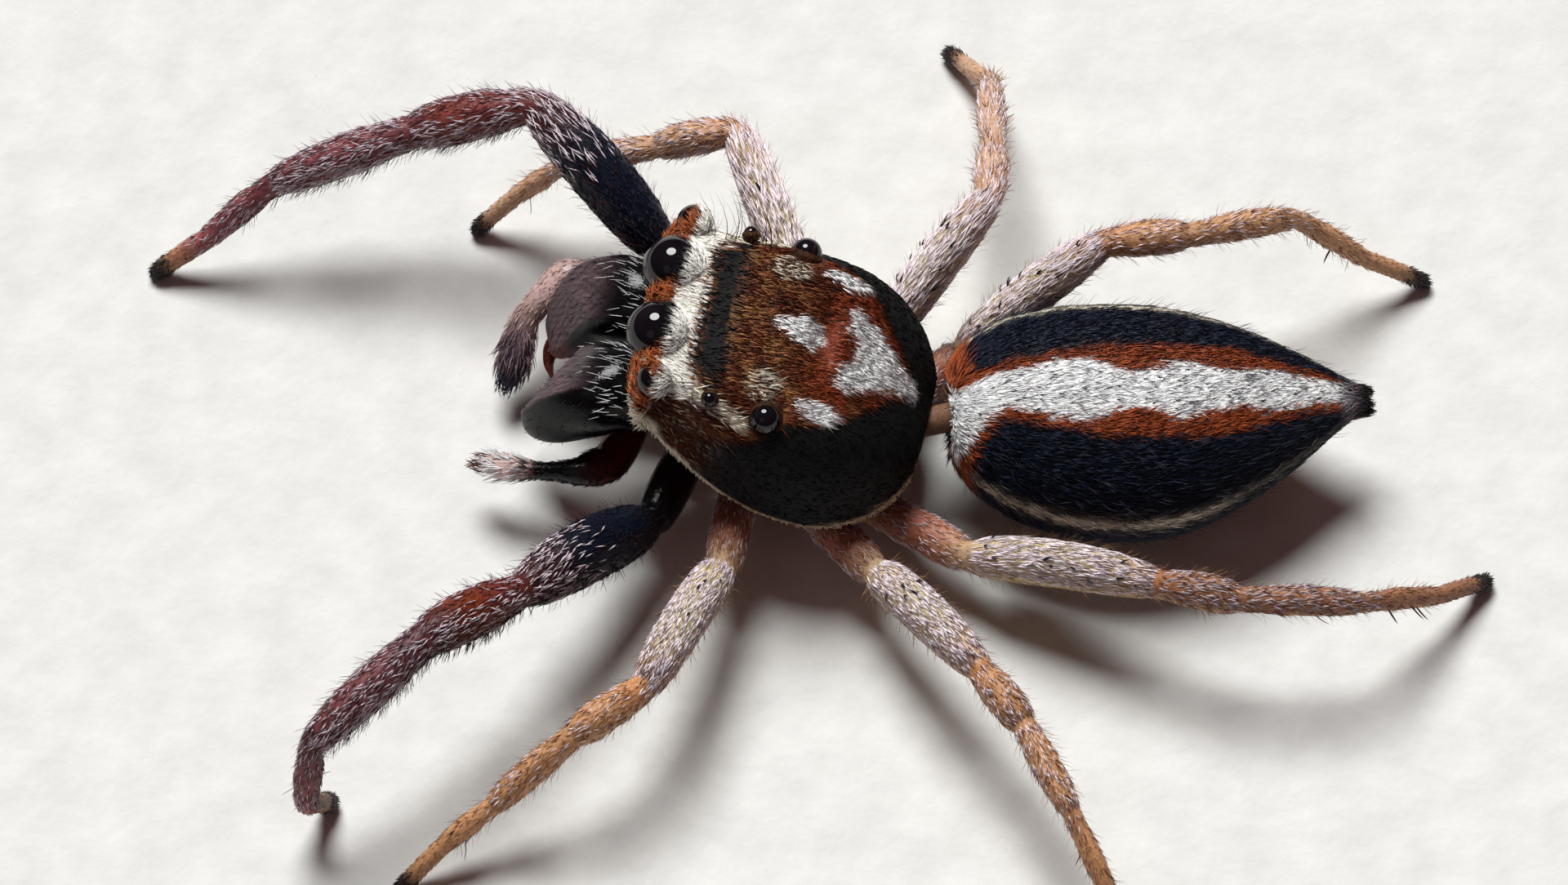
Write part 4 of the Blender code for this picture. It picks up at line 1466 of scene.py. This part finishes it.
def grow_front(coat, shell):
    """Orange hairs stand between and beside the front eyes, cream ones below."""
    def in_front(roots):
        return (to_head(roots.place)[:, 1] < -1.40) * outside_eyes(roots)

    face = shell.scatter(1500, 113, in_front)
    x, y, z = to_head(face.place).T
    x = np.abs(x)
    beside = (z > 0.62) & ((x < 0.16) | (x > 0.70))
    for keep, style, tint, way in ((beside, BETWEEN_EYES, ORANGE * 0.85, (0, -0.6, 1.0)),
                                   (z <= 0.66, BELOW_EYES, CREAM, (0, -0.4, -1.0))):
        roots = pick(face, keep)
        ways = plain(turn_from_head(way), roots.along)
        coat.add(roots, style, coat.vary(plain(tint, roots.along), 0.3), ways)


def grow_bristles(coat, shell):
    """Long dark bristles curve forward over the eyes at each side."""
    def at_side(roots):
        x, y, z = to_head(roots.place).T
        beside = (np.abs(x) > 0.82) * (z > 0.86) * between(y, -1.5, -0.15, 0.1)
        return beside * outside_eyes(roots, margin=0.02)

    forward = turn_from_head((0.0, -0.55, 0.25))
    coat.grow(shell, 100, 114, at_side, BRISTLE, WINE * 0.9, pull=forward * 1.2)


def grow_jaws(coat, jaws):
    """Thin white bristles near the bases of the jaws, dark ones lower down."""
    def near_base(roots):
        return between(roots.along, 0.1, 1.25, 0.8) * (roots.normal[:, 2] > 0.2)

    def lower(roots):
        return between(roots.along, 0.4, 4.6, 0.5)

    for i, jaw in enumerate(jaws):
        coat.grow(jaw, 110, 115 + i, near_base, PALE_JAW, WHITE, variety=0.15)
        coat.grow(jaw, 60, 117 + i, lower, DARK_JAW, BLACK * 2)


def grow_palps(coat, palps):
    """Each palp has a dark or pink arm, the pink partly a painted highlight, and a brush at its tip with a
    dark end.
    """
    for i, (side, palp) in enumerate(palps.items()):
        arm, brush, end = PALP_COAT[side]
        roots = palp.scatter(460, 121 + i, lambda spots: step(spots.along, 0.9, 0.3))
        along = roots.along
        tints = paint(plain(arm, along), ((brush, step(along, 3.15, 0.3)), (end, step(along, 3.86, 0.16))))
        style = PALP_HAIR._replace(length=blend(*PALP_LENGTHS, step(along, 3.0, 0.5)))
        coat.add(roots, style, coat.vary(tints, 0.25), roots.way)


def grow_face(shell, jaws, palps, matt):
    coat = Coat("coat_face", 111)
    grow_brows(coat, shell)
    grow_hoods(coat)
    grow_front(coat, shell)
    grow_bristles(coat, shell)
    grow_jaws(coat, jaws)
    grow_palps(coat, palps)
    coat.make(matt)


def spinneret_tint(roots):
    return blend(plain(MAUVE * 2.5, roots.along), BLACK * 2, step(roots.along, 0.6, 0.4))


def grow_abdomen(name, seed, shell, low, high, spinnerets, matt):
    """The coat of the abdomen from low to high, where its top is 1 and its
    underside -1."""
    coat = Coat(name, seed)

    def here(roots):
        return (top_of(roots) > low) & (top_of(roots) <= high)

    def on_back(roots):
        return (top_of(roots) > max(low, 0.5)) & (roots.along > 0.05)

    roots = shell.scatter(1250, seed + 10, here)
    tints = coat.vary(abdomen_tint(roots, coat.random.normal(0.4, 0.4, len(roots.along))), 0.2)
    pale = tints.mean(axis=1) > 0.30
    dark = tints.mean(axis=1) < 0.05
    rest = ~(pale | dark)
    for keep, style in ((pale, PALE_ABDOMEN), (rest, RUSTY_ABDOMEN)):
        coat.add(pick(roots, keep), style, tints[keep], roots.way[keep])
    # The dark hairs are lightened and varied widely: a painted sheen of glints on the black.
    coat.add(pick(roots, dark), DARK_ABDOMEN, coat.vary(tints[dark] * 1.7, 0.5), roots.way[dark])
    # Sparse long bluish grey hairs: painted glints over the black.
    coat.grow(shell, 45, seed + 20, here, THIN_ABDOMEN, NAVY * 4)
    for i, tube in enumerate(spinnerets):
        coat.grow(tube, 1500, seed + 40 + i, None, SPINNERET_HAIR, spinneret_tint, variety=0.4)
    coat.grow(shell, 22, seed + 30, on_back, THICK_ABDOMEN, BLACK * 2)
    coat.make(matt)


def leg_hairs(leg):
    """The kinds of hair that a leg has."""
    if leg.endswith("1"):
        return {**DARK_LEG_HAIRS, **FOOT_HAIRS}
    kinds = {**PALE_LEG_HAIRS, **FOOT_HAIRS}
    frost = blend(kinds["frost"].tint, WARM_FROST_AND_SHADE, LEG_WARMTH_AND_PAINTED_LIGHT[leg] * WARM_FROST_AND_SHADE_RATE)
    kinds["frost"] = kinds["frost"]._replace(tint=frost)
    return kinds


def grow_leg(coat, shell, leg, strip):
    """All kinds of hair of one leg. Each leg of a coat has a seed of its own."""
    seed = 1000 + 10 * int(strip[0] * 100) + int(leg[-1])
    for i, kind in enumerate(leg_hairs(leg).values()):
        def density(roots):
            top = top_of(roots)
            facing = {"top": top, "below": -top, "flanks": np.abs(np.cos(2 * pi * roots.around))}
            found = between(roots.along, *kind.reach)
            if kind.side:
                side, edge, softness = kind.side
                found = found * step(facing[side], edge, softness)
            return found * kind.kept

        def tint(roots):
            return leg_skin_tint(leg, roots) * kind.skin + kind.tint

        per_mm2 = kind.per_mm2 + kind.frost * LEG_FROST[leg]
        coat.grow(shell, per_mm2, seed + 1 + i, density, kind.style, tint, variety=kind.variety, strip=strip)


def grow_legs(name, seed, shells, legs, matt):
    coat = Coat(name, seed)
    for i, leg in enumerate(legs):
        strip = (i / len(legs) + 0.005, (i + 1) / len(legs) - 0.005)
        grow_leg(coat, shells["leg_" + leg], leg, strip)
    coat.make(matt)


def grow_claws(shells, hard):
    """Two small hooks on each foot, half hidden in its brush."""
    coat = Coat("claws", 301)
    for i, leg in enumerate(LEG_POSES):
        shell = shells["leg_" + leg]
        tip = shell.points[CLAW_RING].mean(axis=0)
        way = unit(shell.ways[CLAW_RING].mean(axis=0))
        side = unit(np.cross(way, (0, 0, 1.0)))
        places = np.array([tip + side * 0.03, tip - side * 0.03])
        normals = plain(unit(np.cross(side, way)), places)
        chart = np.array(((0.1 + 0.1 * i, 0.3), (0.1 + 0.1 * i, 0.6)))
        roots = Spots(places, normals, plain(way, places), None, None, chart)
        coat.add(roots, CLAW, BLACK * 2, roots.way, np.array((0, 0, -0.5)), thick=0.9)
    coat.make(hard)


def build_coats(shells, jaws):
    matt = coat_material("hair", 0.45, 0.25)
    velvet = coat_material("velvet", 0.75, 0.08)
    grow_head_top(shells["carapace"], matt)
    grow_head_sides(shells["carapace"], velvet)
    grow_face(shells["carapace"], jaws, {side: shells["palp_" + side] for side in PALPS}, matt)
    grow_abdomen("coat_abdomen_top", 131, shells["abdomen"], COAT_SPLIT, 2.0, spinneret_shells(), matt)
    grow_abdomen("coat_abdomen_low", 132, shells["abdomen"], -2.0, COAT_SPLIT, (), matt)
    grow_legs("coat_front_legs", 200, shells, ("right_1", "left_1"), matt)
    grow_legs("coat_left_legs", 201, shells, ("left_2", "left_3", "left_4"), matt)
    grow_legs("coat_right_legs", 202, shells, ("right_2", "right_3", "right_4"), matt)
    grow_claws(shells, coat_material("claw", 0.2, 0.6))


# ------------------------------------------------------- floor, light, camera
def aim(thing, target):
    thing.rotation_euler = (target - thing.location).to_track_quat("-Z", "Y").to_euler()


def build_floor():
    mesh = bpy.data.meshes.new("floor")
    corners = [(x * FLOOR_HALF, y * FLOOR_HALF, 0) for x, y in ((-1, -1), (1, -1), (1, 1), (-1, 1))]
    mesh.from_pydata(corners, [], [(0, 1, 2, 3)])
    mesh.materials.append(floor_material())
    place_object("floor", mesh)


def far_light(name, target, way, spread, strength, colour):
    """A round soft light far away, spread degrees across, the same all over the floor."""
    data = bpy.data.lights.new(name, "SUN")
    data.angle = radians(spread)
    data.energy = strength
    data.color = colour
    light = place_object(name, data)
    light.location = target + Vector(way).normalized() * LIGHT_DISTANCE
    aim(light, target)


def build_lights(target):
    """A soft key from the upper left, a weak cool fill, and a dim warm room."""
    far_light("key", target, way=(-0.50, -0.20, 1.0), spread=30, strength=4.0, colour=(0.99, 1.0, 0.98))
    far_light("fill", target, way=(0.75, -0.45, 0.8), spread=28, strength=0.04, colour=(0.85, 0.92, 1.0))
    world = bpy.data.worlds.new("studio")
    bpy.context.scene.world = world
    world.use_nodes = True
    set_inputs(world.node_tree.nodes["Background"], {"Color": (1.0, 0.50, 0.52, 1), "Strength": 0.06})


def build_camera(target):
    """The camera stands on the spider's left, a little behind it and high up."""
    data = bpy.data.cameras.new("camera")
    data.sensor_width = 36.0
    data.lens = data.sensor_width * CAMERA_DISTANCE / FRAME_WIDTH
    data.clip_start = 0.001
    data.clip_end = 10.0
    camera = place_object("camera", data)
    azimuth = radians(CAMERA_AZIMUTH)
    elevation = radians(CAMERA_ELEVATION)
    way = Vector((cos(azimuth) * cos(elevation), sin(azimuth) * cos(elevation), sin(elevation)))
    camera.location = target + way * CAMERA_DISTANCE * MM
    aim(camera, target)
    bpy.context.scene.camera = camera


target = Vector((SHIFT[0], SHIFT[1], TARGET_HEIGHT)) * MM
build_floor()
build_lights(target)
build_camera(target)
bpy.context.scene.view_settings.view_transform = "Standard"

shells = build_skin()
build_eyes()
build_coats(shells, build_jaws())
